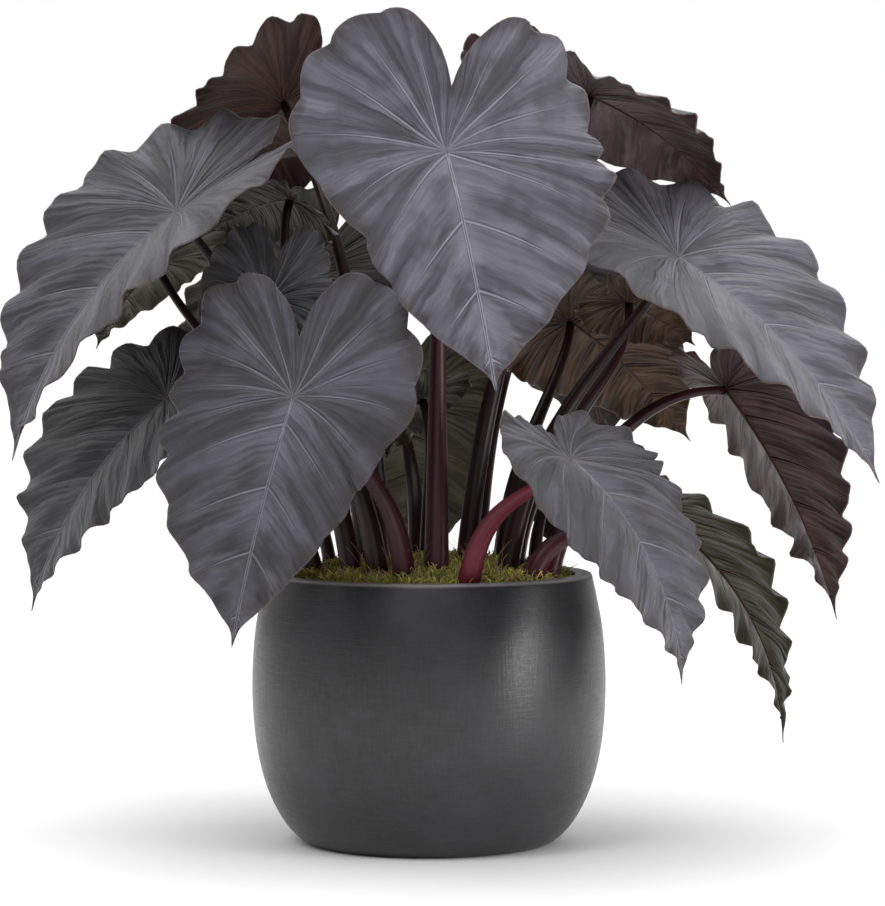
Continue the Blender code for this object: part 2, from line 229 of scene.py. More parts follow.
def finish_piece(name: str, bm: bmesh.types.BMesh, materials: Sequence[bpy.types.Material],
                 replaces: Sequence[str] = ()) -> bpy.types.Object:
    """Turn a bmesh into a smooth piece that rides on the plant's one body.

    Args:
        name: The piece's name.
        bm: Its shape, in the frame's own coordinates; it is freed.
        materials: Its materials, in slot order.
        replaces: The CAD nodes that it stands for.

    Returns:
        The new object.
    """
    mesh = bpy.data.meshes.new(name)
    bm.to_mesh(mesh)
    bm.free()
    mesh.shade_smooth()
    for material in materials:
        mesh.materials.append(material)
    piece = bpy.data.objects.new(name, mesh)
    bpy.context.scene.collection.objects.link(piece)
    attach(piece, BODY)
    if replaces:
        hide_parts(*replaces)
    LOG.info("%s: %d faces", name, len(mesh.polygons))
    return piece


def sweep(bm: bmesh.types.BMesh, path: Sequence[Vector], radii: Sequence[float], sides: int,
          flat: float = 1.0, up: Optional[Vector] = None,
          paint: Optional[Callable[[bmesh.types.BMVert, float, float], None]] = None) -> None:
    """Draw a closed tube along a path by extruding a circle, point by point.

    Args:
        bm: The bmesh that the tube goes into.
        path: The centre line.
        radii: One radius for each point.
        sides: How many sides the tube has.
        flat: How high the section is along up, for a radius of 1 across it.
        up: The direction along which the section is flattened.
        paint: Called for each new point with its angle and its way along the path.
    """
    ring = bmesh.ops.create_circle(bm, segments=sides, radius=1.0, cap_ends=False)["verts"]
    edges = list(dict.fromkeys(edge for vert in ring for edge in vert.link_edges))
    headings = [(path[min(i + 1, len(path) - 1)] - path[max(i - 1, 0)]).normalized()
                for i in range(len(path))]
    across = up.copy() if up else headings[0].orthogonal()
    caps = [ring]
    reach = 0.0
    for index, (point, heading, radius) in enumerate(zip(path, headings, radii)):
        if index:
            reach += (point - path[index - 1]).length
            grown = bmesh.ops.extrude_edge_only(bm, edges=edges)["geom"]
            fresh = {item for item in grown if isinstance(item, bmesh.types.BMVert)}
            edges = [item for item in grown if isinstance(item, bmesh.types.BMEdge)
                     and item.verts[0] in fresh and item.verts[1] in fresh]
            ring = [next(edge.other_vert(vert) for edge in vert.link_edges
                         if edge.other_vert(vert) in fresh) for vert in ring]
        across = (across - across.dot(heading) * heading).normalized()
        beside = heading.cross(across)
        for side, vert in enumerate(ring):
            turn = 2 * math.pi * side / sides
            vert.co = point + radius * (across * flat * math.cos(turn) + beside * math.sin(turn))
            if paint:
                paint(vert, turn, reach)
    caps.append(ring)
    for cap in caps:
        bm.faces.new(cap)


def turned(profile: Sequence[Point], steps: int) -> bmesh.types.BMesh:
    """Spin a profile once round the pot's axis and close its seam.

    Args:
        profile: Radius and height of each point, in order.
        steps: How many steps the turn has.

    Returns:
        The turned shape.
    """
    bm = bmesh.new()
    verts = [bm.verts.new((radius, 0.0, height)) for radius, height in profile]
    edges = [bm.edges.new(pair) for pair in zip(verts, verts[1:])]
    bmesh.ops.spin(bm, geom=verts + edges, cent=(0, 0, 0), axis=(0, 0, 1),
                   angle=2 * math.pi, steps=steps, use_merge=True)
    bmesh.ops.remove_doubles(bm, verts=bm.verts, dist=1e-6)
    return bm


def strand(bm: bmesh.types.BMesh, path: Sequence[Vector], radii: Sequence[float],
           length: float, foot: float, shade: float) -> None:
    """Draw one three-sided strand and store its height and hue on its points.

    Args:
        bm: The bmesh that it goes into, with its hue and height layers.
        path: The centre line.
        radii: One radius for each point.
        length: The length that its height is a share of.
        foot: The height that its foot counts as.
        shade: Its hue, 0 to 1.
    """
    hue, height = (bm.verts.layers.float[layer] for layer in ("hue", "height"))
    start = len(bm.verts)

    def paint(vert: bmesh.types.BMVert, _turn: float, way: float) -> None:
        """Store how high on the strand a point is."""
        vert[height] = foot + way / length

    sweep(bm, path, radii, 3, paint=paint)
    bm.verts.ensure_lookup_table()
    for index in range(start, len(bm.verts)):
        bm.verts[index][hue] = shade


class LeafTone(Enum):
    """The colouring of a leaf's underside, which age and light decide."""

    BURGUNDY = "burgundy"
    PLUM = "plum"
    BRONZE = "bronze"
    OLIVE = "olive"
    SHADE = "shade"
    UMBER_IN_SHADE = "umber"


class UpperShade(Enum):
    """A leaf's upper side, in a lit tone or in darker copies painted as its shade."""

    OPEN = "open"
    LIGHT_SHADE = "soft"
    DEEP_SHADE = "deep"
    SHADED = "shaded"


class StemTone(Enum):
    """The colouring of a petiole: old ones are near black, young ones wine red."""

    NIGHT = "night"
    WINE = "wine"
    RED = "red"


@dataclass(frozen=True)
class LeafSkin:
    """One side of a taro leaf: living skin under a thin wax, grown and not made.

    The wax gives a silky, half-matt sheen with no clear reflection, and the pleats between
    the veins catch the light as fine streaks that follow the veins. The colour also carries
    painted shade: in the pleats' hollows, in the grooves beside the veins, along the
    midrib's groove, and as a darker, browner band at the margin. The bands of the ridges and
    grooves are shares of a vein's width, and those of the rib, the painted margin shade and
    the rim are millimetres.
    """

    name: str
    deep: str
    body: str
    pale: str
    vein: str
    rim: str
    # Painted shade: the darker, browner colour laid in a band along the margin.
    margin: str = "#2e2a2a"
    roughness: float = 0.48
    sheen: float = 0.20
    gloss: float = 0.5
    relief: float = 3.6 * MILLIMETRE
    vein_width: float = 1.7
    glow_width: float = 9.0
    streaks: float = 9.0
    pleats: float = 3.0
    blotch: float = 50 * MILLIMETRE
    mottle: float = 0.72
    glow: float = 0.5
    ridges: float = 0.7
    ridge_band: Point = (0.45, 1.15)
    groove_band: Point = (0.9, 2.8)
    rib_band: Point = (1.4, 2.6)
    rib_line_band: Point = (0.3, 0.8)
    rib_glow: Point = (1.0, 25.0)
    # Painted margin shade: how far in from the margin it reaches, in millimetres.
    margin_shade_band: Point = (3.0, 24.0)
    rim_band: Point = (0.4, 2.0)

    def material(self) -> bpy.types.Material:
        """Build the finish, whose pattern follows the blade's own veins."""
        material = new_material(self.name, self.roughness, IOR=1.42, Sheen_Weight=self.sheen,
                                Sheen_Roughness=0.45, Specular_IOR_Level=self.gloss)
        tree = material.node_tree
        shader = tree.nodes["Principled BSDF"]
        place = add_node(tree, "ShaderNodeUVMap", uv_map="veins").outputs["UV"]
        coords = add_node(tree, "ShaderNodeTexCoord").outputs["Object"]
        gap = add_node(tree, "ShaderNodeAttribute", attribute_name="vein_gap").outputs["Fac"]
        rib = add_node(tree, "ShaderNodeAttribute", attribute_name="rib_gap").outputs["Fac"]
        edge = add_node(tree, "ShaderNodeAttribute", attribute_name="rim_gap").outputs["Fac"]
        out = add_node(tree, "ShaderNodeSeparateXYZ", {0: place}).outputs["Y"]
        wander = add_node(tree, "ShaderNodeTexNoise",
                          {"Vector": coords, "Scale": 24.0, "Detail": 2.0}).outputs["Color"]
        bent = add_node(tree, "ShaderNodeMix", {0: 0.18, 4: place, 5: wander},
                        data_type="VECTOR").outputs[1]
        streak = stretched_noise(tree, bent, Vector((self.streaks, 1.7, 1.0)), 4.0, 0.3)
        pleat = stretched_noise(tree, bent, Vector((self.pleats, 0.9, 1.0)), 2.0, 0.2)
        patch = add_node(tree, "ShaderNodeTexNoise",
                         {"Vector": coords, "Scale": 1 / self.blotch, "Detail": 3.0,
                          "Roughness": 0.6}).outputs["Fac"]
        fine = span(tree, streak, 0.34, 0.66, 0.0, 1.0)
        broad = span(tree, pleat, 0.38, 0.62, 0.0, 1.0)
        width = span(tree, out, 0.0, 1.0, self.vein_width, 0.5)
        far = calculate(tree, "DIVIDE", gap, width)
        fade = span(tree, out, 0.35, 0.95, 1.0, 0.15)
        ridge = calculate(tree, "MULTIPLY", span(tree, far, *self.ridge_band, 1.0, 0.0), fade)
        beside = calculate(tree, "MULTIPLY", span(tree, far, *self.groove_band, 1.0, 0.0), fade)
        rib_ridge = span(tree, rib, *self.rib_band, 1.0, 0.0)
        rib_line = span(tree, rib, *self.rib_line_band, 1.0, 0.0)
        halo = calculate(tree, "MULTIPLY", span(tree, gap, 0.5, self.glow_width, 1.0, 0.0), fade)
        glow = calculate(tree, "MAXIMUM", halo, span(tree, rib, *self.rib_glow, 1.0, 0.0))
        # Painted shade: the pleats' hollows take the deep colour and their crests the body
        # colour, from the same noise that raises them in the bump.
        weave = calculate(tree, "ADD", calculate(tree, "MULTIPLY", broad, 0.70),
                          calculate(tree, "MULTIPLY", fine, 0.30))
        base = mix_colours(tree, weave, linear(self.deep), linear(self.body))
        base = mix_colours(tree, calculate(tree, "MULTIPLY", glow, self.glow), base,
                           linear(self.pale))
        dim = span(tree, patch, 0.44, 0.70, 0.0, self.mottle)
        base = mix_colours(tree, dim, base, linear(self.deep))
        # Painted shade: a darker, browner band along the margin, in patches.
        margin_shade = calculate(tree, "MULTIPLY", span(tree, edge, *self.margin_shade_band, 0.75, 0.0),
                         span(tree, patch, 0.38, 0.58, 0.15, 1.0))
        base = mix_colours(tree, margin_shade, base, linear(self.margin))
        # Painted shade: the grooves beside the veins are darkened towards deep, as well as sunk
        # by the bump.
        base = mix_colours(tree, calculate(tree, "MULTIPLY", beside, 0.35), base,
                           linear(self.deep))
        veins = calculate(tree, "MULTIPLY", calculate(tree, "MAXIMUM", ridge, rib_ridge),
                          self.ridges)
        base = mix_colours(tree, veins, base, linear(self.vein))
        # Painted shade: a thin dark line down the midrib's groove, which the bump also sinks.
        base = mix_colours(tree, calculate(tree, "MULTIPLY", rib_line, 0.6), base,
                           linear(self.deep))
        worn = calculate(tree, "MULTIPLY", span(tree, edge, *self.rim_band, 0.8, 0.0),
                         span(tree, patch, 0.40, 0.60, 0.2, 1.0))
        base = mix_colours(tree, worn, base, linear(self.rim))
        tree.links.new(base, shader.inputs["Base Color"])
        rough = span(tree, weave, 0.0, 1.0, self.roughness + 0.10, self.roughness - 0.06)
        tree.links.new(rough, shader.inputs["Roughness"])
        height = calculate(tree, "ADD", broad, calculate(tree, "MULTIPLY", fine, 0.35))
        raised = calculate(tree, "MAXIMUM", ridge, rib_ridge)
        height = calculate(tree, "ADD", height, calculate(tree, "MULTIPLY", raised, 0.5))
        height = calculate(tree, "SUBTRACT", height, calculate(tree, "MULTIPLY", beside, 0.5))
        height = calculate(tree, "SUBTRACT", height, rib_line)
        bump = add_node(tree, "ShaderNodeBump",
                        {"Height": height, "Distance": self.relief, "Strength": 0.9})
        tree.links.new(bump.outputs[0], shader.inputs["Normal"])
        return material


@dataclass(frozen=True)
class StemSkin:
    """A petiole's skin: smooth, juicy and waxed, with long darker fibres under it."""

    name: str
    dark: str
    light: str
    flush: str
    roughness: float = 0.36

    def material(self) -> bpy.types.Material:
        """Build the finish: long streaks that run up the stem, redder at its foot."""
        material = new_material(self.name, self.roughness, IOR=1.42,
                                Specular_IOR_Level=0.35)
        tree = material.node_tree
        shader = tree.nodes["Principled BSDF"]
        place = add_node(tree, "ShaderNodeAttribute", attribute_name="stem").outputs["Vector"]
        streak = stretched_noise(tree, place, Vector((5.0, 5.0, 5.0)), 4.0)
        slow = stretched_noise(tree, place, Vector((1.2, 1.2, 9.0)), 2.0)
        along = add_node(tree, "ShaderNodeSeparateXYZ", {0: place}).outputs["Z"]
        base = mix_colours(tree, span(tree, streak, 0.35, 0.68, 0.0, 1.0), linear(self.dark),
                           linear(self.light))
        base = mix_colours(tree, span(tree, slow, 0.52, 0.80, 0.0, 0.8), base,
                           linear(self.flush))
        base = mix_colours(tree, span(tree, along, 0.04, 0.17, 0.6, 0.0), base,
                           linear(self.flush))
        tree.links.new(base, shader.inputs["Base Color"])
        bump = add_node(tree, "ShaderNodeBump",
                        {"Height": streak, "Distance": 0.5 * MILLIMETRE, "Strength": 0.6})
        tree.links.new(bump.outputs[0], shader.inputs["Normal"])
        return material


@dataclass(frozen=True)
class PotGlaze:
    """Charcoal stoneware with a matt engobe, given a rubbing by hand while it dried.

    The rubbing leaves a fine cross-hatch, drawn about twice as coarse as the real one so
    that it shows. The lip's top is painted paler, a painted highlight for the light from
    above, and the sides catch a tall, soft highlight.
    """

    name: str = "charcoal_stoneware"
    body: str = "#29292c"
    worn: str = "#353438"
    dark: str = "#202022"
    # Painted highlight: the colour of the lip's top, and the heights over which it grows in.
    lip_light: str = "#8c898a"
    lip: Point = (0.3005, 0.3045)
    hatch: float = 2.4 * MILLIMETRE
    grit: float = 0.9 * MILLIMETRE

    def material(self) -> bpy.types.Material:
        """Build the finish."""
        material = new_material(self.name, 0.5, IOR=1.5)
        tree = material.node_tree
        shader = tree.nodes["Principled BSDF"]
        coords = add_node(tree, "ShaderNodeTexCoord").outputs["Object"]
        fine, long = 1 / self.hatch, 1 / (self.hatch * 9)
        level = stretched_noise(tree, coords, Vector((long, long, fine)), 3.0)
        upright = stretched_noise(tree, coords, Vector((fine, fine, long)), 3.0)
        hatch = calculate(tree, "MULTIPLY", calculate(tree, "ADD", level, upright), 0.5)
        grit = add_node(tree, "ShaderNodeTexNoise",
                        {"Vector": coords, "Scale": 1 / self.grit, "Detail": 2.0}).outputs["Fac"]
        cloud = add_node(tree, "ShaderNodeTexNoise",
                         {"Vector": coords, "Scale": 14.0, "Detail": 3.0}).outputs["Fac"]
        base = mix_colours(tree, span(tree, hatch, 0.38, 0.64, 0.0, 1.0), linear(self.dark),
                           linear(self.body))
        base = mix_colours(tree, span(tree, cloud, 0.45, 0.75, 0.0, 0.55), base,
                           linear(self.worn))
        # Painted highlight: the lip's top is made paler, as if light from above falls on it.
        rise = add_node(tree, "ShaderNodeSeparateXYZ", {0: coords}).outputs["Z"]
        base = mix_colours(tree, span(tree, rise, *self.lip, 0.0, 0.85), base,
                           linear(self.lip_light))
        tree.links.new(base, shader.inputs["Base Color"])
        tree.links.new(span(tree, hatch, 0.35, 0.65, 0.38, 0.29), shader.inputs["Roughness"])
        height = calculate(tree, "ADD", hatch, calculate(tree, "MULTIPLY", grit, 0.35))
        bump = add_node(tree, "ShaderNodeBump",
                        {"Height": height, "Distance": 0.7 * MILLIMETRE, "Strength": 0.55})
        tree.links.new(bump.outputs[0], shader.inputs["Normal"])
        return material


@dataclass(frozen=True)
class StrandSkin:
    """Moss leaflets and dry fibres: thin, matt and slightly see-through when alive."""

    name: str
    foot: str
    leaf: str
    bright: str
    dry: str
    roughness: float = 0.75

    def material(self) -> bpy.types.Material:
        """Build the finish, which reads each strand's own hue and height."""
        material = new_material(self.name, self.roughness, Sheen_Weight=0.3,
                                Sheen_Roughness=0.5, Specular_IOR_Level=0.25)
        tree = material.node_tree
        shader = tree.nodes["Principled BSDF"]
        hue = add_node(tree, "ShaderNodeAttribute", attribute_name="hue").outputs["Fac"]
        height = add_node(tree, "ShaderNodeAttribute", attribute_name="height").outputs["Fac"]
        top = mix_colours(tree, span(tree, hue, 0.30, 0.62, 0.0, 1.0), linear(self.leaf),
                          linear(self.bright))
        top = mix_colours(tree, span(tree, hue, 0.74, 0.80, 0.0, 1.0), top, linear(self.dry))
        base = mix_colours(tree, span(tree, height, 0.05, 0.75, 0.0, 1.0), linear(self.foot),
                           top)
        tree.links.new(base, shader.inputs["Base Color"])
        return material


@dataclass(frozen=True)
class EarthSkin:
    """Peat and bark crumbs, damp and dark, or grit where the colours are greys."""

    name: str
    dark: str
    light: str
    crumb: float = 3.0 * MILLIMETRE

    def material(self) -> bpy.types.Material:
        """Build the finish from crumbs of two sizes."""
        material = new_material(self.name, 0.9, Specular_IOR_Level=0.3)
        tree = material.node_tree
        shader = tree.nodes["Principled BSDF"]
        coords = add_node(tree, "ShaderNodeTexCoord").outputs["Object"]
        crumbs = add_node(tree, "ShaderNodeTexVoronoi",
                          {"Vector": coords, "Scale": 1 / self.crumb})
        blend = add_node(tree, "ShaderNodeTexNoise",
                         {"Vector": coords, "Scale": 0.3 / self.crumb, "Detail": 4.0})
        base = mix_colours(tree, span(tree, blend.outputs["Fac"], 0.4, 0.7, 0.0, 1.0),
                           linear(self.dark), linear(self.light))
        tree.links.new(base, shader.inputs["Base Color"])
        bump = add_node(tree, "ShaderNodeBump",
                        {"Height": crumbs.outputs["Distance"], "Distance": self.crumb / 2,
                         "Strength": 0.8})
        tree.links.new(bump.outputs[0], shader.inputs["Normal"])
        return material


# Painted shade: the first skin is the lit upper side, and the next three are darker copies of it
# for leaves that stand in less light.
UPPERS = {
    UpperShade.OPEN: LeafSkin("leaf_upper_open", deep="#35343a", body="#62606c",
                             pale="#777583", vein="#918e9c", rim="#66534e"),
    UpperShade.LIGHT_SHADE: LeafSkin("leaf_upper_light_shade", deep="#2d2c32", body="#54525d",
                             pale="#65636f", vein="#817f8b", rim="#5b4944"),
    UpperShade.DEEP_SHADE: LeafSkin("leaf_upper_deep_shade", deep="#252428", body="#4a4852",
                             pale="#595762", vein="#73707b", rim="#503f3b"),
    UpperShade.SHADED: LeafSkin("leaf_upper_shaded", deep="#232326", body="#3d3d41",
                               pale="#4a4a50", vein="#66646c", rim="#463835", glow=0.4),
}


def underside(name: str, deep: str, body: str, pale: str, vein: str, rim: str) -> LeafSkin:
    """Make the skin of an underside, which has next to no wax and stands out in its ribs.

    Args:
        name: The finish's name.
        deep: The darkest colour, for the mottle and for the painted shade in the pleats'
            hollows, beside the veins, along the midrib and at the margin.
        body: The main colour.
        pale: The colour along the ribs.
        vein: The ribs' own colour.
        rim: The colour of the worn edge.

    Returns:
        The finish.
    """
    # Painted shade: the undersides darken towards deep at the margin.
    return LeafSkin(name, deep, body, pale, vein, rim, margin=deep, sheen=0.05, gloss=0.3,
                    glow=0.3, ridges=0.75)


UNDERSIDES = {
    LeafTone.BURGUNDY: underside("leaf_under_burgundy", "#2a1916", "#482e28", "#52342e",
                                 "#5a262b", "#6a4a44"),
    LeafTone.PLUM: underside("leaf_under_plum", "#3f2f30", "#614848", "#6c5253", "#6c3a44",
                             "#7a5c5c"),
    LeafTone.BRONZE: underside("leaf_under_bronze", "#34261a", "#5a4029", "#62462e",
                               "#54302a", "#6e5a3a"),
    LeafTone.OLIVE: underside("leaf_under_olive", "#2c281b", "#49452f", "#555036",
                              "#2b1a16", "#57523f"),
    LeafTone.SHADE: underside("leaf_under_shade", "#221d1d", "#3a3230", "#443a37",
                              "#4a2a2e", "#4a3c3a"),
    # Painted shade: a darker copy of the brown underside for the inner leaf that hangs in shade;
    # its olive-brown hue is its own.
    LeafTone.UMBER_IN_SHADE: underside("leaf_under_umber_in_shade", "#1b150d", "#302616", "#382c1b",
                              "#3a1f18", "#433522"),
}
STEMS = {
    StemTone.NIGHT: StemSkin("stem_night", dark="#150b0d", light="#2c181b", flush="#3a1820"),
    StemTone.WINE: StemSkin("stem_wine", dark="#241014", light="#3e1d24", flush="#5a2230"),
    StemTone.RED: StemSkin("stem_red", dark="#4a1420", light="#661d2d", flush="#78263a"),
}
RIB_SKIN = StemSkin("leaf_rib", dark="#28110f", light="#45211f", flush="#55272b")
MOSS_SKIN = StrandSkin("moss_strand", foot="#4c3f1c", leaf="#929a30", bright="#e0da62",
                       dry="#c49e6e")
WISP_SKIN = StrandSkin("dry_fibre", foot="#4a3020", leaf="#8a5c3e", bright="#c29c68",
                       dry="#7a3a2c")
TWIG_SKIN = StrandSkin("twig", foot="#24120e", leaf="#3e1d18", bright="#5a2a20",
                       dry="#4a2a1c")
PEAT = EarthSkin("peat", dark="#1d130c", light="#3a2a1c")
GRIT = EarthSkin("potting_grit", dark="#33302e", light="#6a6663")


@dataclass(frozen=True)
class Leaf:
    """One leaf: where it stands, where its blade hangs and how the blade is bent.

    The fields down to arrive are those of the solid that the leaf stands for. Sizes on the
    blade are shares of its length, and angles are degrees.
    """

    name: str
    root: Point
    joint: tuple[float, float, float]
    tip: tuple[float, float, float]
    face: tuple[float, float, float]
    half: float = 0.58
    lobes: float = 1.0
    cant: float = 0.0
    droop: float = 40.0
    nape: float = 0.0
    fold: float = 12.0
    roll: float = 25.0
    slim: float = 0.0
    trim: float = 0.0
    wave: float = 0.020
    scallop: float = 0.030
    waves: int = 10
    girth: float = 0.0125
    lean: float = 0.34
    arrive: Optional[tuple[float, float, float]] = None
    under: LeafTone = LeafTone.BURGUNDY
    stem: StemTone = StemTone.NIGHT
    upper: UpperShade = UpperShade.OPEN


LEAVES = (
    Leaf("crown", (0.008, -0.085), (0.020, -0.205, 0.770), (0.071, -0.240, 0.520),
         (0.10, -0.97, 0.10), half=0.64, lobes=0.98, cant=-16, droop=34, nape=-50, fold=4,
         roll=28, slim=0.32, girth=0.0140, stem=StemTone.WINE),
    Leaf("left_upper", (-0.075, -0.060), (-0.280, -0.060, 0.710), (-0.454, -0.120, 0.446),
         (-0.70, -0.53, 0.48), half=0.46, lobes=0.9, droop=41, nape=20, fold=18, roll=10,
         upper=UpperShade.DEEP_SHADE),
    Leaf("left_lower", (-0.112, -0.030), (-0.290, -0.070, 0.502), (-0.434, -0.120, 0.279),
         (-0.70, -0.55, 0.45), half=0.48, lobes=0.6, droop=41, nape=10, fold=14, roll=10,
         upper=UpperShade.SHADED),
    Leaf("left_front", (-0.022, -0.105), (-0.143, -0.250, 0.509), (-0.205, -0.290, 0.254),
         (-0.20, -0.95, 0.15), half=0.52, lobes=0.82, cant=10, droop=25, nape=-40, fold=4,
         roll=30, slim=-0.32, lean=0.15, stem=StemTone.WINE, upper=UpperShade.DEEP_SHADE),
    Leaf("right_upper", (0.075, -0.055), (0.279, -0.030, 0.660), (0.494, -0.090, 0.419),
         (0.653, -0.47, 0.593), half=0.55, lobes=0.8, droop=34, nape=20, fold=11, roll=10,
         upper=UpperShade.LIGHT_SHADE),
    Leaf("right_front", (0.030, -0.125), (0.151, -0.270, 0.444), (0.265, -0.310, 0.218),
         (0.754, -0.50, 0.424), half=0.51, lobes=0.58, cant=-30, droop=50, nape=20, fold=11,
         roll=20, trim=0.36, stem=StemTone.RED, upper=UpperShade.DEEP_SHADE),
    Leaf("high_left", (-0.045, -0.020), (-0.169, 0.130, 0.842), (-0.267, 0.220, 0.646),
         (-0.59, 0.77, 0.25), half=0.50, lobes=0.9, droop=40),
    Leaf("high_right", (0.035, -0.020), (0.184, 0.050, 0.846), (0.347, 0.130, 0.728),
         (0.40, 0.42, 0.81), half=0.50, lobes=1.1, droop=30, nape=-35, fold=-5, roll=15,
         under=LeafTone.PLUM),
    Leaf("right_hanging", (0.114, -0.050), (0.339, 0.045, 0.511), (0.468, 0.075, 0.253),
         (0.80, 0.45, 0.40), half=0.40, lobes=0.32, droop=25, nape=-20, fold=14, roll=5,
         arrive=(0.95, 0.15, -0.05), stem=StemTone.WINE, under=LeafTone.PLUM),
    Leaf("right_low", (0.088, -0.092), (0.247, -0.055, 0.379), (0.395, -0.065, 0.128),
         (0.85, 0.25, 0.50), half=0.40, lobes=0.28, droop=58, nape=-30, fold=8, roll=5,
         under=LeafTone.OLIVE, stem=StemTone.WINE),
    Leaf("right_middle", (0.076, 0.016), (0.165, 0.150, 0.587), (0.310, 0.250, 0.448),
         (0.134, 0.70, 0.701), half=0.43, lobes=0.7, droop=30, fold=0, roll=15,
         under=LeafTone.BRONZE),
    Leaf("right_inner", (0.085, -0.022), (0.227, 0.040, 0.610), (0.306, 0.100, 0.562),
         (-0.25, 0.55, 0.78), half=0.48, lobes=0.8, droop=20, fold=5, roll=20,
         under=LeafTone.BRONZE, stem=StemTone.WINE),
    Leaf("left_inner", (-0.066, 0.014), (-0.156, 0.000, 0.726), (-0.256, 0.120, 0.692),
         (0.20, 0.60, 0.75), half=0.42, lobes=0.35, droop=30, fold=0,
         under=LeafTone.UMBER_IN_SHADE),
    Leaf("left_nest", (-0.048, -0.072), (-0.174, -0.150, 0.609), (-0.192, -0.190, 0.468),
         (-0.10, -0.80, 0.55), half=0.48, droop=20, fold=25, roll=10, upper=UpperShade.SHADED),
    Leaf("left_far", (-0.098, 0.015), (-0.310, 0.060, 0.652), (-0.385, 0.110, 0.560),
         (-0.50, 0.50, 0.70), half=0.50, droop=30, waves=7, girth=0.0085,
         under=LeafTone.OLIVE),
    Leaf("middle_small", (-0.002, 0.015), (-0.008, 0.055, 0.500), (-0.050, 0.110, 0.430),
         (-0.30, 0.50, 0.80), half=0.50, droop=30, waves=7, girth=0.0085,
         under=LeafTone.OLIVE),
    Leaf("right_small", (0.116, 0.030), (0.141, 0.060, 0.402), (0.140, 0.085, 0.327),
         (0.30, 0.90, 0.20), half=0.42, lobes=0.6, droop=30, waves=7, girth=0.0085,
         under=LeafTone.OLIVE),
    Leaf("back_left", (-0.040, 0.055), (-0.150, 0.290, 0.640), (-0.235, 0.400, 0.415),
         (-0.45, 0.75, 0.48), half=0.52, droop=38, under=LeafTone.SHADE),
    Leaf("back_right", (0.048, 0.094), (0.140, 0.350, 0.655), (0.220, 0.470, 0.430),
         (0.40, 0.78, 0.48), half=0.52, droop=38, under=LeafTone.SHADE),
    Leaf("back_low", (-0.010, 0.104), (-0.030, 0.290, 0.480), (-0.025, 0.375, 0.265),
         (0.0, 0.88, 0.47), half=0.44, lobes=0.8, droop=38, under=LeafTone.OLIVE),
)


@dataclass
class Outline:
    """Half of a blade's outline, from the sinus to the drip tip, by share of its length."""

    leaf: Leaf
    points: tuple[Point, ...] = (
        (-0.30, 0.00), (-0.40, 0.05), (-0.52, 0.16), (-0.60, 0.36), (-0.56, 0.60),
        (-0.42, 0.82), (-0.18, 0.96), (0.06, 1.00), (0.30, 0.95), (0.52, 0.78),
        (0.72, 0.51), (0.87, 0.21), (0.935, 0.075), (0.97, 0.026), (1.00, 0.010),
        (1.03, 0.00))
    steps: int = 12

    def __post_init__(self) -> None:
        """Draw the curve and measure it."""
        scaled = [(a * self.leaf.lobes if a < 0 else a, b * self.leaf.half)
                  for a, b in self.points]
        self.curve = smooth_through(scaled, self.steps)
        self.reach = [0.0]
        for one, two in zip(self.curve, self.curve[1:]):
            self.reach.append(self.reach[-1] + math.dist(one, two))

    def at(self, share: float) -> Point:
        """Return the point at a share of the outline's length."""
        goal = share * self.reach[-1]
        index = min(max(bisect.bisect_left(self.reach, goal) - 1, 0), len(self.curve) - 2)
        low, high = self.reach[index], self.reach[index + 1]
        part = (goal - low) / (high - low)
        one, two = self.curve[index], self.curve[index + 1]
        return (one[0] + (two[0] - one[0]) * part, one[1] + (two[1] - one[1]) * part)


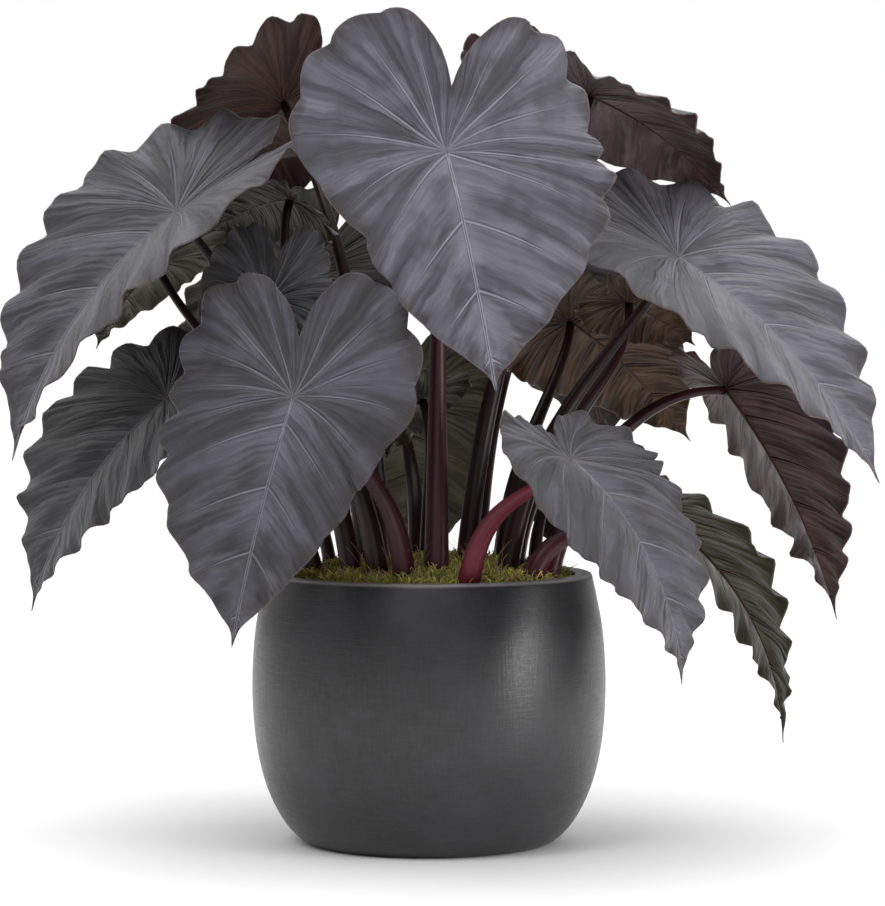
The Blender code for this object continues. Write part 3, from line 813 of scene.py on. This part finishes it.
@dataclass
class BladeShape:
    """The surface of one blade: flat outline, veins and waves, then its bend in space.

    A place runs round the margin from -1 to 1, with the tip at 0 and the sinus at both ends,
    and out runs along a vein from the midrib, at 0, to the margin, at 1.
    """

    leaf: Leaf
    vein_slope: float = 0.70
    vein_bow: float = 0.10
    cant_reach: float = 0.25
    broad_swings: float = 2.3
    broad_lifts: float = 1.7
    broad_lift: float = 0.8
    lobe_blend: Point = (-0.2, 0.3)
    narrow_reach: float = 0.3
    calm_tip: float = 5.0
    calm_sinus: float = 4.0
    quilt: float = 3.2 * MILLIMETRE
    curl: float = 2.6 * MILLIMETRE
    frill: float = 0.005
    frill_calm: Point = (10.0, 9.0)

    def __post_init__(self) -> None:
        """Work out the blade's own axes and length."""
        leaf = self.leaf
        self.outline = Outline(leaf)
        draw = random.Random(leaf.name)
        self.phases = [draw.uniform(0, 2 * math.pi) for _ in range(4)]
        self.curls = [draw.uniform(0, 2 * math.pi) for _ in range(12)]
        self.joint = Vector(leaf.joint)
        chord = Vector(leaf.tip) - self.joint
        self.along = chord.normalized()
        face = Vector(leaf.face)
        self.face = (face - face.dot(self.along) * self.along).normalized()
        self.side = self.along.cross(self.face)
        self.bend = math.radians(leaf.droop)
        self.length = chord.length * (self.bend / 2) / math.sin(self.bend / 2)

    def calm(self, share: float) -> float:
        """Return how far the margin's waves are grown at a share from sinus to tip."""
        return min(1.0, share * self.calm_sinus) * min(1.0, (1.0 - share) * self.calm_tip)

    def ruffle(self, place: float, first: int) -> float:
        """Return an uneven wave round the margin, from about -1 to 1.

        Args:
            place: Where on the margin it is read.
            first: Which of the blade's own phases it starts at.

        Returns:
            The wave, still at the sinus and at the tip.
        """
        share = 1.0 - abs(place)
        near, far = self.frill_calm
        still = min(1.0, share * near) * min(1.0, (1.0 - share) * far)
        turns = 2 * math.pi * self.leaf.waves * share
        one, two, three = self.curls[first if place >= 0 else first + 3:][:3]
        swell = 0.65 + 0.35 * math.sin(turns * 0.31 + two)
        return still * swell * (0.6 * math.sin(turns * 1.31 + one)
                                + 0.5 * math.sin(turns * 2.13 + three))

    def flat(self, place: float, out: float) -> Point:
        """Lay a place on the flat blade.

        Args:
            place: Where on the margin the point's vein ends, -1 to 1.
            out: How far along the vein it is, 0 to 1.

        Returns:
            The way along the midrib and the way beside it, as shares of the length.
        """
        leaf = self.leaf
        side = 1.0 if place >= 0 else -1.0
        share = 1.0 - abs(place)
        a, b = self.outline.at(share)
        bump = abs(math.sin(math.pi * leaf.waves * share))
        swing = 0.5 * math.sin(2 * math.pi * self.broad_swings * share
                               + self.phases[0 if side > 0 else 1])
        grow = 1.0 + leaf.scallop / leaf.half * (bump + swing) * self.calm(share)
        grow += self.frill / leaf.half * self.ruffle(place, 0)
        start = max(0.0, a - self.vein_slope * b)
        front = ease((a - self.lobe_blend[0]) / (self.lobe_blend[1] - self.lobe_blend[0]))
        slim = 1.0 - max(0.0, leaf.slim * side) * front
        trim = 1.0 - max(0.0, leaf.trim * side) * (1.0 - front)
        end_a = a
        if a < self.narrow_reach:
            end_a *= grow
        if a < 0.0:
            end_a *= trim
        end_b = b * grow * slim * trim
        mid_a = (start + end_a) / 2 - self.vein_bow * end_b
        mid_b = end_b / 2
        keep, turn, go = (1 - out) ** 2, 2 * out * (1 - out), out ** 2
        a, b = keep * start + turn * mid_a + go * end_a, side * (turn * mid_b + go * end_b)
        sway = math.radians(leaf.cant) * ease((self.cant_reach - a) / (2 * self.cant_reach))
        return (a * math.cos(sway) + b * math.sin(sway), b * math.cos(sway) - a * math.sin(sway))

    def lift(self, a: float, b: float, place: float, out: float) -> Vector:
        """Bend a point of the flat blade into space.

        Args:
            a: The way along the midrib.
            b: The way beside it.
            place: The point's place round the margin.
            out: The point's way along its vein.

        Returns:
            The point in the frame.
        """
        leaf = self.leaf
        half_bend = self.bend / 2
        pace = self.bend if a > 0 else math.radians(leaf.nape) or 1e-6
        tilt = half_bend - pace * a
        go = (math.sin(half_bend) - math.sin(tilt)) / pace
        up = (math.cos(tilt) - math.cos(half_bend)) / pace
        normal = self.face * math.cos(tilt) - self.along * math.sin(tilt)
        rise, drop = math.radians(leaf.fold), math.radians(leaf.roll) / leaf.half
        angle = rise - drop * abs(b)
        wide = (math.sin(rise) - math.sin(angle)) / drop
        high = (math.cos(angle) - math.cos(rise)) / drop
        share = 1.0 - abs(place)
        half = 0 if place >= 0 else 1
        ripple = leaf.wave * self.calm(share) * (
            self.broad_lift * math.sin(2 * math.pi * self.broad_lifts * share
                                       + self.phases[2 + half]) * out ** 2
            - math.cos(2 * math.pi * leaf.waves * share) * out ** 3)
        side = self.side if b >= 0 else -self.side
        out_of = normal * math.cos(angle) - side * math.sin(angle)
        point = self.along * go + self.face * up + side * wide + normal * high + out_of * ripple
        puff = math.cos(math.pi * leaf.waves * share) ** 2 * 4 * out * (1 - out)
        detail = (self.quilt * self.calm(share) * puff * min(1.0, 3 * out)
                  + 2 * self.curl * self.ruffle(place, 6) * out ** 5)
        return self.joint + self.length * point + out_of * detail

    def at(self, place: float, out: float) -> Vector:
        """Return the point in the frame for a place round the margin and a way out."""
        a, b = self.flat(place, out)
        return self.lift(a, b, place, out)


@dataclass
class BladePiece:
    """A finished blade with two different sides, and the ribs that stand out underneath."""

    shape: BladeShape
    columns: int = 10
    rows: tuple[float, ...] = (
        0.0, 0.012, 0.03, 0.055, 0.085, 0.12, 0.16, 0.20, 0.25, 0.30, 0.355, 0.41, 0.47, 0.53,
        0.59, 0.65, 0.71, 0.77, 0.83, 0.88, 0.92, 0.955, 0.982, 1.0)
    thickness: float = 1.2 * MILLIMETRE
    rib_root: float = 2.9 * MILLIMETRE
    vein_root: float = 1.6 * MILLIMETRE
    vein_tip: float = 0.35 * MILLIMETRE
    rib_flat: float = 0.7
    rib_sides: int = 6
    rib_steps: int = 14
    tree: Optional[BVHTree] = field(default=None, init=False)

    def vein_places(self) -> list[float]:
        """Return where on the margin the side veins end, both halves."""
        waves = self.shape.leaf.waves
        places = [(crest + 0.5) / waves for crest in range(waves)]
        return [1 - share for share in places] + [share - 1 for share in places]

    def sheet(self) -> bmesh.types.BMesh:
        """Lay a grid of veins and rows, mark each point's distances, and bend it."""
        shape, leaf = self.shape, self.shape.leaf
        bm = bmesh.new()
        row_count = len(self.rows) - 1
        bmesh.ops.create_grid(bm, x_segments=2 * leaf.waves * self.columns,
                              y_segments=row_count, size=1)
        vein_gap = bm.verts.layers.float.new("vein_gap")
        rib_gap = bm.verts.layers.float.new("rib_gap")
        rim_gap = bm.verts.layers.float.new("rim_gap")
        uv = bm.loops.layers.uv.new("veins")
        for face in bm.faces:
            for loop in face.loops:
                x, y = loop.vert.co.x, loop.vert.co.y
                loop[uv].uv = (x * leaf.waves, self.rows[round((y + 1) / 2 * row_count)])
        to_mm = shape.length / MILLIMETRE
        margins: dict[float, Point] = {}
        marks = []
        for vert in bm.verts:
            place, out = vert.co.x, self.rows[round((vert.co.y + 1) / 2 * row_count)]
            side = 1 if place >= 0 else -1
            crest = math.floor((1 - abs(place)) * leaf.waves - 1e-6)
            near = side * (1 - (max(crest, 0) + 0.5) / leaf.waves)
            flat = shape.flat(place, out)
            key = round(place, 5)
            if key not in margins:
                margins[key] = shape.flat(place, 1.0)
            vert[vein_gap] = math.dist(flat, shape.flat(near, out)) * to_mm
            vert[rib_gap] = abs(flat[1]) * to_mm if flat[0] > -0.01 else 99.0
            vert[rim_gap] = math.dist(flat, margins[key]) * to_mm
            marks.append((vert, flat, place, out))
        for vert, flat, _, _ in marks:
            vert.co = (flat[0], flat[1], 0.0)
        places = {vert: (place, out) for vert, _, place, out in marks}
        bmesh.ops.remove_doubles(bm, verts=bm.verts, dist=1e-5)
        for vert in bm.verts:
            place, out = places[vert]
            vert.co = shape.lift(vert.co.x, vert.co.y, place, out)
        bmesh.ops.recalc_face_normals(bm, faces=bm.faces)
        total = sum((face.normal * face.calc_area() for face in bm.faces), Vector())
        if total.dot(shape.face) < 0:
            bmesh.ops.reverse_faces(bm, faces=bm.faces)
        bm.normal_update()
        return bm

    def under(self, points: Sequence[Vector], radii: Sequence[float]) -> list[Vector]:
        """Move a rib's line under the sheet, so that no rib shows on the upper side.

        Args:
            points: The line on the sheet.
            radii: The rib's radius at each point.

        Returns:
            The line of the rib's middle.
        """
        line = []
        for point, radius in zip(points, radii):
            hit, normal, _, _ = self.tree.find_nearest(point)
            line.append(hit - normal * (radius * self.rib_flat - self.thickness * 0.2))
        return line

    def ribs(self) -> bmesh.types.BMesh:
        """Draw the midrib and the side veins as tapering ridges."""
        bm = bmesh.new()
        stem = bm.verts.layers.float_vector.new("stem")

        def paint(vert: bmesh.types.BMVert, turn: float, reach: float) -> None:
            """Store where on the rib a point is."""
            vert[stem] = (math.cos(turn), math.sin(turn), 0.2 + reach)

        shape = self.shape
        size = min(1.0, shape.length / 0.26)
        lines = [([shape.lift(0.975 * step / (2 * self.rib_steps), 0.0, 0.0, 0.0)
                   for step in range(2 * self.rib_steps + 1)], self.rib_root)]
        for place in self.vein_places():
            lines.append(([shape.at(place, 0.94 * (step / self.rib_steps) ** 1.1)
                           for step in range(self.rib_steps + 1)], self.vein_root))
        for points, root in lines:
            last = len(points) - 1
            radii = [size * (root + (self.vein_tip - root) * (step / last) ** 0.7)
                     for step in range(len(points))]
            if (points[-1] - points[0]).length > 4 * root:
                _, normal, _, _ = self.tree.find_nearest(points[last // 2])
                sweep(bm, self.under(points, radii), radii, self.rib_sides, self.rib_flat,
                      normal, paint)
        bmesh.ops.recalc_face_normals(bm, faces=bm.faces)
        return bm

    def build(self, upper: bpy.types.Material, under: bpy.types.Material,
              rib: bpy.types.Material) -> None:
        """Make the blade's two pieces.

        Args:
            upper: The finish of the side that faces the light.
            under: The finish of the underside.
            rib: The finish of the ribs.
        """
        leaf = self.shape.leaf
        bm = self.sheet()
        self.tree = BVHTree.FromBMesh(bm)
        blade = finish_piece(leaf.name + "_leaf", bm, [upper, under],
                             [leaf.name + "_blade"])
        thick = blade.modifiers.new("Thickness", "SOLIDIFY")
        thick.thickness = self.thickness
        thick.offset = 0.0
        thick.material_offset = 1
        thick.material_offset_rim = 0
        finish_piece(leaf.name + "_ribs", self.ribs(), [rib])


@dataclass
class StemPiece:
    """A petiole: thick and sheathed at its foot, thin where it carries the blade."""

    shape: BladeShape
    tree: BVHTree
    seat: float = 3.0 * MILLIMETRE
    soil_top: float = 0.283
    depth: float = 0.050
    straight: float = 0.034
    neck: float = 4.6 * MILLIMETRE
    taper: float = 1.1
    knob: float = 0.45
    bow: float = 0.30
    lift: float = 0.39
    steps: int = 30
    sides: int = 20
    sheath: float = 0.17
    groove: float = 0.13

    def line(self) -> list[Vector]:
        """Return the centre line, from the foot in the soil to the blade."""
        leaf, shape = self.shape.leaf, self.shape
        foot = Vector((leaf.root[0], leaf.root[1], self.soil_top - self.depth))
        hit, normal, _, _ = self.tree.find_nearest(shape.joint)
        joint = hit - normal * self.seat
        reach = shape.joint - foot
        lean = Vector((reach.x * leaf.lean, reach.y * leaf.lean, reach.z)).normalized()
        bend = foot + lean * (self.depth + self.straight)
        if leaf.arrive:
            arrive = Vector(leaf.arrive).normalized()
        else:
            arrive = (shape.face + Vector((0, 0, self.lift))).normalized()
        reach = (shape.joint - bend).length
        knob, neck = bend + lean * reach * self.knob, shape.joint - arrive * reach * self.bow
        line = [foot + (bend - foot) * step / 4 for step in range(5)]
        for step in range(1, self.steps + 1):
            t = step / self.steps
            s = 1 - t
            line.append(s ** 3 * bend + 3 * s * s * t * knob + 3 * s * t * t * neck
                        + t ** 3 * joint)
        return line

    def build(self, skin: bpy.types.Material) -> None:
        """Make the petiole.

        Args:
            skin: The finish of the stem.
        """
        leaf = self.shape.leaf
        line = self.line()
        reach = [0.0]
        for one, two in zip(line, line[1:]):
            reach.append(reach[-1] + (two - one).length)
        straight = reach[4]
        radii = []
        for index in range(len(line)):
            share = max(0.0, (reach[index] - straight) / (reach[-1] - straight))
            radii.append(self.neck + (leaf.girth - self.neck) * (1 - share) ** self.taper)
        radii[-1] = radii[-2] = self.neck * 1.12
        bm = bmesh.new()
        stem = bm.verts.layers.float_vector.new("stem")
        outward = Vector((leaf.root[0], leaf.root[1], 0.0)).normalized()
        sheath_end = straight + self.sheath * (reach[-1] - straight) / 0.5

        def paint(vert: bmesh.types.BMVert, turn: float, way: float) -> None:
            """Store where on the stem a point is."""
            vert[stem] = (math.cos(turn), math.sin(turn), way)

        sweep(bm, line, radii, self.sides, up=-outward, paint=paint)
        rings: dict[int, list[bmesh.types.BMVert]] = {}
        for index, vert in enumerate(bm.verts):
            rings.setdefault(index // self.sides, []).append(vert)
        for index, ring in rings.items():
            share = 1 - ease((reach[index] - straight) / max(1e-6, sheath_end - straight))
            for vert in ring:
                inward = max(0.0, vert[stem].x) ** 6
                vert.co += (line[index] - vert.co) * self.groove * inward * (1.4 * share + 0.5)
        bmesh.ops.recalc_face_normals(bm, faces=bm.faces)
        finish_piece(leaf.name + "_stem", bm, [skin], [leaf.name + "_petiole"])


@dataclass
class Pot:
    """The round planter: a turned wall with a soft belly, a flat lip and a flat foot."""

    height: float = 0.305
    outer: tuple[Point, ...] = (
        (0.0, 0.130), (0.0025, 0.141), (0.012, 0.154), (0.030, 0.168), (0.056, 0.181),
        (0.086, 0.1905), (0.122, 0.197), (0.165, 0.200), (0.205, 0.1995), (0.245, 0.196),
        (0.280, 0.1895), (0.300, 0.1852))
    inner: tuple[Point, ...] = (
        (0.022, 0.130), (0.045, 0.159), (0.092, 0.1765), (0.150, 0.184), (0.220, 0.183),
        (0.285, 0.1705), (0.299, 0.1652))
    lip: tuple[Point, ...] = (
        (0.3028, 0.1844), (0.3044, 0.1831), (0.305, 0.1815), (0.305, 0.1690),
        (0.3043, 0.1668), (0.3024, 0.1656))
    steps: int = 160
    smooth: int = 5

    def build(self, glaze: bpy.types.Material) -> None:
        """Spin the wall once round and close it.

        Args:
            glaze: The pot's finish.
        """
        outer = smooth_through(self.outer, self.smooth)
        inner = smooth_through(self.inner, self.smooth)[::-1]
        wall = outer + list(self.lip) + inner
        profile = [(0.0, 0.0)] + wall + [(self.inner[0][0], 0.0)]
        bm = turned([(radius, height) for height, radius in profile], self.steps)
        bmesh.ops.recalc_face_normals(bm, faces=bm.faces)
        piece = finish_piece("planter", bm, [glaze], ["pot"])
        piece.data.set_sharp_from_angle(angle=math.radians(50))


@dataclass(frozen=True)
class Stalks:
    """One kind of dry stalk in the moss.

    Lengths are metres and radii millimetres. Rise is how upright a stalk stands, 0 to 1,
    spread is the share of the bed's area it keeps to, from the middle out, and bearings are
    the directions from the middle in which it grows, in degrees from +X.
    """

    name: str
    count: int
    length: Point
    radius: Point
    rise: Point
    spread: Point
    bearings: tuple[Point, ...] = ((0.0, 360.0),)


SHORT_FIBRES = Stalks("dry_fibres", 260, (0.018, 0.042), (0.30, 0.45), (0.25, 0.95),
                      (0.15, 1.0))
TALL_FIBRES = Stalks("tall_fibres", 34, (0.055, 0.080), (0.35, 0.50), (0.85, 0.98),
                     (0.25, 0.80), ((235.0, 262.0), (292.0, 318.0)))
TWIGS = Stalks("twigs", 26, (0.028, 0.042), (0.7, 1.1), (0.70, 0.95), (0.70, 1.0),
               ((196.0, 232.0), (308.0, 344.0)))


@dataclass
class MossBed:
    """The moss in the pot: a humped bed, thousands of strands, dry fibres and grit."""

    radius: float = 0.1625
    edge: float = 0.296
    crown: float = 0.016
    hump: float = 0.0035
    base: float = 0.2835
    rings: int = 26
    steps: int = 96
    tuft_strands: int = 16
    tufts: int = 640
    strand_length: Point = (0.011, 0.024)
    strand_radius: Point = (0.6, 1.1)
    grains: int = 230
    seed: int = 12

    def height(self, x: float, y: float) -> float:
        """Work out the bed's height: a low dome with soft humps.

        Args:
            x: The place to the right of the pot's middle.
            y: The place behind it.

        Returns:
            The height above the floor.
        """
        reach = min(1.0, math.hypot(x, y) / self.radius)
        humps = (math.sin(61 * x + 1.3) * math.cos(53 * y - 0.4)
                 + 0.6 * math.sin(97 * (x + y)) * math.cos(83 * (x - y) + 0.9)
                 + 0.5 * math.sin(190 * x + 2.0) * math.sin(173 * y + 0.7))
        edge = min(1.0, (1.0 - reach) * 5.0)
        return self.edge - 0.003 * reach ** 4 + self.crown * (1 - reach ** 2) \
            + self.hump * humps * edge

    def bed(self, skin: bpy.types.Material) -> None:
        """Spin the bed and raise its humps.

        Args:
            skin: The bed's finish.
        """
        profile = [(0.0, self.base), (self.radius, self.base)]
        profile += [(self.radius * (1 - ring / self.rings), self.edge)
                    for ring in range(self.rings + 1)]
        bm = turned(profile, self.steps)
        for vert in bm.verts:
            if vert.co.z > self.base + MILLIMETRE:
                vert.co.z = self.height(vert.co.x, vert.co.y)
        bmesh.ops.recalc_face_normals(bm, faces=bm.faces)
        finish_piece("moss_bed", bm, [skin], ["moss"])

    def tuft(self, draw: random.Random, name: str) -> bpy.types.Mesh:
        """Make one tuft of curved, tapering strands round a point.

        Args:
            draw: The seeded draw.
            name: The mesh's name.

        Returns:
            The tuft's mesh, with a hue and a height on each point.
        """
        bm = bmesh.new()
        for layer in ("hue", "height"):
            bm.verts.layers.float.new(layer)
        for _ in range(self.tuft_strands):
            length = draw.uniform(*self.strand_length)
            turn = draw.uniform(0, 2 * math.pi)
            lean = draw.uniform(0.1, 1.0)
            foot = Vector((draw.gauss(0, 0.0045), draw.gauss(0, 0.0045), -0.003))
            out = Vector((math.cos(turn), math.sin(turn), 0.0))
            path = [foot + out * length * lean * (step / 4) ** 1.5
                    + Vector((0, 0, length * (1 - 0.45 * lean) * math.sin(step / 4 * 1.5)))
                    for step in range(5)]
            thick = draw.uniform(*self.strand_radius) * MILLIMETRE
            radii = [thick * width for width in (0.7, 1.0, 0.95, 0.7, 0.12)]
            strand(bm, path, radii, length, 0.0, draw.random())
        mesh = bpy.data.meshes.new(name)
        bm.to_mesh(mesh)
        bm.free()
        return mesh

    def strands(self, skin: bpy.types.Material) -> None:
        """Scatter tufts over the bed, close together and each turned its own way.

        Args:
            skin: The finish of the live strands.
        """
        draw = random.Random(self.seed)
        kinds = [self.tuft(draw, f"tuft_{kind}") for kind in range(6)]
        share = self.tufts // 2
        for part in range(2):
            bm = bmesh.new()
            hue = bm.verts.layers.float.new("hue")
            bm.verts.layers.float.new("height")
            for number in range(share):
                index = part * share + number
                radius = (self.radius - 0.005) * math.sqrt((index + 0.5) / self.tufts)
                turn = index * math.pi * (3 - math.sqrt(5)) + draw.uniform(-0.05, 0.05)
                x, y = radius * math.cos(turn), radius * math.sin(turn)
                start = len(bm.verts)
                bm.from_mesh(draw.choice(kinds))
                bm.verts.ensure_lookup_table()
                fresh = [bm.verts[i] for i in range(start, len(bm.verts))]
                size = draw.uniform(0.7, 1.15)
                place = (Matrix.Translation((x, y, self.height(x, y)))
                         @ Matrix.Rotation(draw.uniform(0, 2 * math.pi), 4, "Z")
                         @ Matrix.Diagonal((1.0, 1.0, size, 1.0)))
                bmesh.ops.transform(bm, matrix=place, verts=fresh)
                patch = 0.5 + 0.5 * math.sin(38 * x + 1.0) * math.sin(44 * y + 2.1)
                shift = 0.34 * (patch - 0.5) + draw.uniform(-0.08, 0.08)
                for vert in fresh:
                    vert[hue] = min(1.0, max(0.0, vert[hue] + shift))
            for mesh in (kinds if part else []):
                bpy.data.meshes.remove(mesh)
            bmesh.ops.recalc_face_normals(bm, faces=bm.faces)
            finish_piece(f"moss_strands_{part + 1}", bm, [skin])

    def stalks(self, kind: Stalks, skin: bpy.types.Material) -> None:
        """Add dry stalks that stand out of the moss and lean on each other.

        Args:
            kind: How many there are, where they stand and their sizes.
            skin: Their finish.
        """
        draw = random.Random(kind.name)
        bm = bmesh.new()
        for layer in ("hue", "height"):
            bm.verts.layers.float.new(layer)
        for _ in range(kind.count):
            radius = (self.radius - 0.008) * math.sqrt(draw.uniform(*kind.spread))
            turn = math.radians(draw.uniform(*draw.choice(kind.bearings)))
            x, y = radius * math.cos(turn), radius * math.sin(turn)
            length = draw.uniform(*kind.length)
            way = draw.uniform(0, 2 * math.pi)
            out = Vector((math.cos(way), math.sin(way), 0.0))
            beside = Vector((-out.y, out.x, 0.0))
            swing = draw.uniform(-0.35, 0.35)
            rise = draw.uniform(*kind.rise)
            lean = math.sqrt(1 - rise * rise)
            foot = Vector((x, y, self.height(x, y) - 0.002))
            path = []
            for step in range(7):
                t = step / 6
                path.append(foot + length * (out * lean * t + beside * swing * t * t
                                             + Vector((0, 0, rise * t * (1 - 0.3 * t)))))
            thick = draw.uniform(*kind.radius) * MILLIMETRE
            radii = [thick * (1 - 0.6 * step / 6) for step in range(7)]
            strand(bm, path, radii, length, 0.3, draw.random())
        bmesh.ops.recalc_face_normals(bm, faces=bm.faces)
        finish_piece(kind.name, bm, [skin])

    def grit(self, skin: bpy.types.Material) -> None:
        """Lay grains in the gap between the moss and the pot's wall.

        Args:
            skin: The finish of the grains.
        """
        draw = random.Random(self.seed + 2)
        bm = bmesh.new()
        for _ in range(self.grains):
            radius = draw.uniform(0.1555, 0.1625)
            turn = draw.uniform(0, 2 * math.pi)
            size = draw.uniform(1.0, 2.1) * MILLIMETRE
            place = Vector((radius * math.cos(turn), radius * math.sin(turn),
                            self.edge + draw.uniform(-0.001, 0.0035)))
            made = bmesh.ops.create_icosphere(bm, subdivisions=1, radius=size)["verts"]
            for vert in made:
                vert.co *= draw.uniform(0.75, 1.2)
            turned = Matrix.Rotation(draw.uniform(0, 3), 4, Vector((1, draw.random(), 0.3)))
            bmesh.ops.transform(bm, matrix=Matrix.Translation(place) @ turned, verts=made)
        finish_piece("grit", bm, [skin])

    def build(self, bed: bpy.types.Material, moss: bpy.types.Material,
              fibre: bpy.types.Material, twig: bpy.types.Material,
              grit: bpy.types.Material) -> None:
        """Make every part of the bed.

        Args:
            bed: The finish of the humped bed.
            moss: The finish of the live strands.
            fibre: The finish of the dry fibres.
            twig: The finish of the twigs.
            grit: The finish of the grains at the wall.
        """
        self.bed(bed)
        self.strands(moss)
        for kind, skin in ((SHORT_FIBRES, fibre), (TALL_FIBRES, fibre), (TWIGS, twig)):
            self.stalks(kind, skin)
        self.grit(grit)


@dataclass
class Plant:
    """All the leaves with their petioles."""

    leaves: Sequence[Leaf] = LEAVES

    def build(self) -> None:
        """Make each leaf in its own tones, which share their finishes."""
        uppers = {tone: skin.material() for tone, skin in UPPERS.items()}
        undersides = {tone: skin.material() for tone, skin in UNDERSIDES.items()}
        stems = {tone: skin.material() for tone, skin in STEMS.items()}
        rib = RIB_SKIN.material()
        for leaf in self.leaves:
            shape = BladeShape(leaf)
            blade = BladePiece(shape)
            blade.build(uppers[leaf.upper], undersides[leaf.under], rib)
            StemPiece(shape, blade.tree).build(stems[leaf.stem])


@dataclass(frozen=True)
class Lamp:
    """One soft lamp: where it hangs, its width and height in metres, and its watts."""

    name: str
    place: tuple[float, float, float]
    size: Point
    power: float


LAMPS = (
    Lamp("side_lamp", (2.7, -1.5, 0.72), (0.8, 1.35), 38.0),
    Lamp("front_lamp", (-1.2, -2.0, 2.8), (1.6, 1.6), 26.0),
    Lamp("back_lamp", (0.4, 2.2, 2.6), (1.6, 1.6), 14.0),
)


@dataclass
class Studio:
    """A pale floor, a tall soft lamp at the right, two broad ones, and the photo's camera."""

    eye: tuple[float, float, float] = (0.0153, -4.0, 0.603)
    look: tuple[float, float, float] = (0.0153, 0.0, 0.44)
    focal_pixels: float = 3540.0
    frame_height: float = 906.0
    sensor: float = 36.0
    aim: tuple[float, float, float] = (0.0, 0.0, 0.45)
    floor_radius: float = 30.0
    paper: float = 0.97
    backdrop: float = 1.0
    horizon_light: float = 0.35
    zenith_light: float = 1.5

    def camera(self) -> None:
        """Place the camera; its lens gives the photo's scale at its own frame."""
        data = bpy.data.cameras.new("studio_camera")
        data.sensor_width = self.sensor
        data.lens = self.sensor * self.focal_pixels / self.frame_height
        data.clip_end = 200.0
        camera = bpy.data.objects.new("studio_camera", data)
        camera.location = self.eye
        way = Vector(self.look) - Vector(self.eye)
        camera.rotation_euler = way.to_track_quat("-Z", "Y").to_euler()
        bpy.context.scene.collection.objects.link(camera)
        bpy.context.scene.camera = camera

    def light(self, lamp: Lamp) -> None:
        """Hang one lamp that shines at the plant.

        Args:
            lamp: Its place, size and power.
        """
        data = bpy.data.lights.new(lamp.name, "AREA")
        data.shape = "RECTANGLE"
        data.size, data.size_y = lamp.size
        data.energy = lamp.power
        hung = bpy.data.objects.new(lamp.name, data)
        hung.location = lamp.place
        way = Vector(self.aim) - Vector(lamp.place)
        hung.rotation_euler = way.to_track_quat("-Z", "Y").to_euler()
        bpy.context.scene.collection.objects.link(hung)

    def floor(self) -> None:
        """Lay a pale floor that isn't part of the object."""
        bm = bmesh.new()
        bmesh.ops.create_circle(bm, cap_ends=True, segments=96, radius=self.floor_radius)
        mesh = bpy.data.meshes.new("studio_floor")
        bm.to_mesh(mesh)
        bm.free()
        material = new_material("floor_paper", 0.9, Specular_IOR_Level=0.2)
        material.node_tree.nodes["Principled BSDF"].inputs["Base Color"].default_value = (
            self.paper, self.paper, self.paper, 1.0)
        mesh.materials.append(material)
        floor = bpy.data.objects.new("studio_floor", mesh)
        bpy.context.scene.collection.objects.link(floor)

    def world(self) -> None:
        """Hang a white room round the plant, lit most from overhead as by a soft ceiling."""
        world = bpy.data.worlds.new("studio_world")
        world.use_nodes = True
        tree = world.node_tree
        sky = tree.nodes["Background"]
        sky.inputs["Color"].default_value = (1.0, 1.0, 1.0, 1.0)
        way = add_node(tree, "ShaderNodeTexCoord").outputs["Generated"]
        rise = add_node(tree, "ShaderNodeSeparateXYZ", {0: way}).outputs["Z"]
        dome = calculate(tree, "MULTIPLY", calculate(tree, "POWER", rise, 2.0),
                         self.zenith_light)
        dome = calculate(tree, "ADD", dome, self.horizon_light)
        seen = add_node(tree, "ShaderNodeLightPath").outputs["Is Camera Ray"]
        shown = add_node(tree, "ShaderNodeMix", {0: seen, 2: dome, 3: self.backdrop})
        tree.links.new(shown.outputs[0], sky.inputs["Strength"])
        bpy.context.scene.world = world
        bpy.context.scene.view_settings.view_transform = "Standard"

    def build(self) -> None:
        """Set up the whole studio."""
        self.camera()
        self.world()
        self.floor()
        for lamp in LAMPS:
            self.light(lamp)


def main() -> None:
    """Load the frame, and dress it."""
    logging.basicConfig(level=logging.INFO, format="%(name)s %(message)s")
    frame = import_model()
    Studio().build()
    Pot().build(PotGlaze().material())
    peat, moss = PEAT.material(), MOSS_SKIN.material()
    for slot in frame["nodes"]["soil"].material_slots:
        slot.material = peat
    MossBed().build(peat, moss, WISP_SKIN.material(), TWIG_SKIN.material(), GRIT.material())
    Plant().build()


if __name__ == "__main__":
    main()
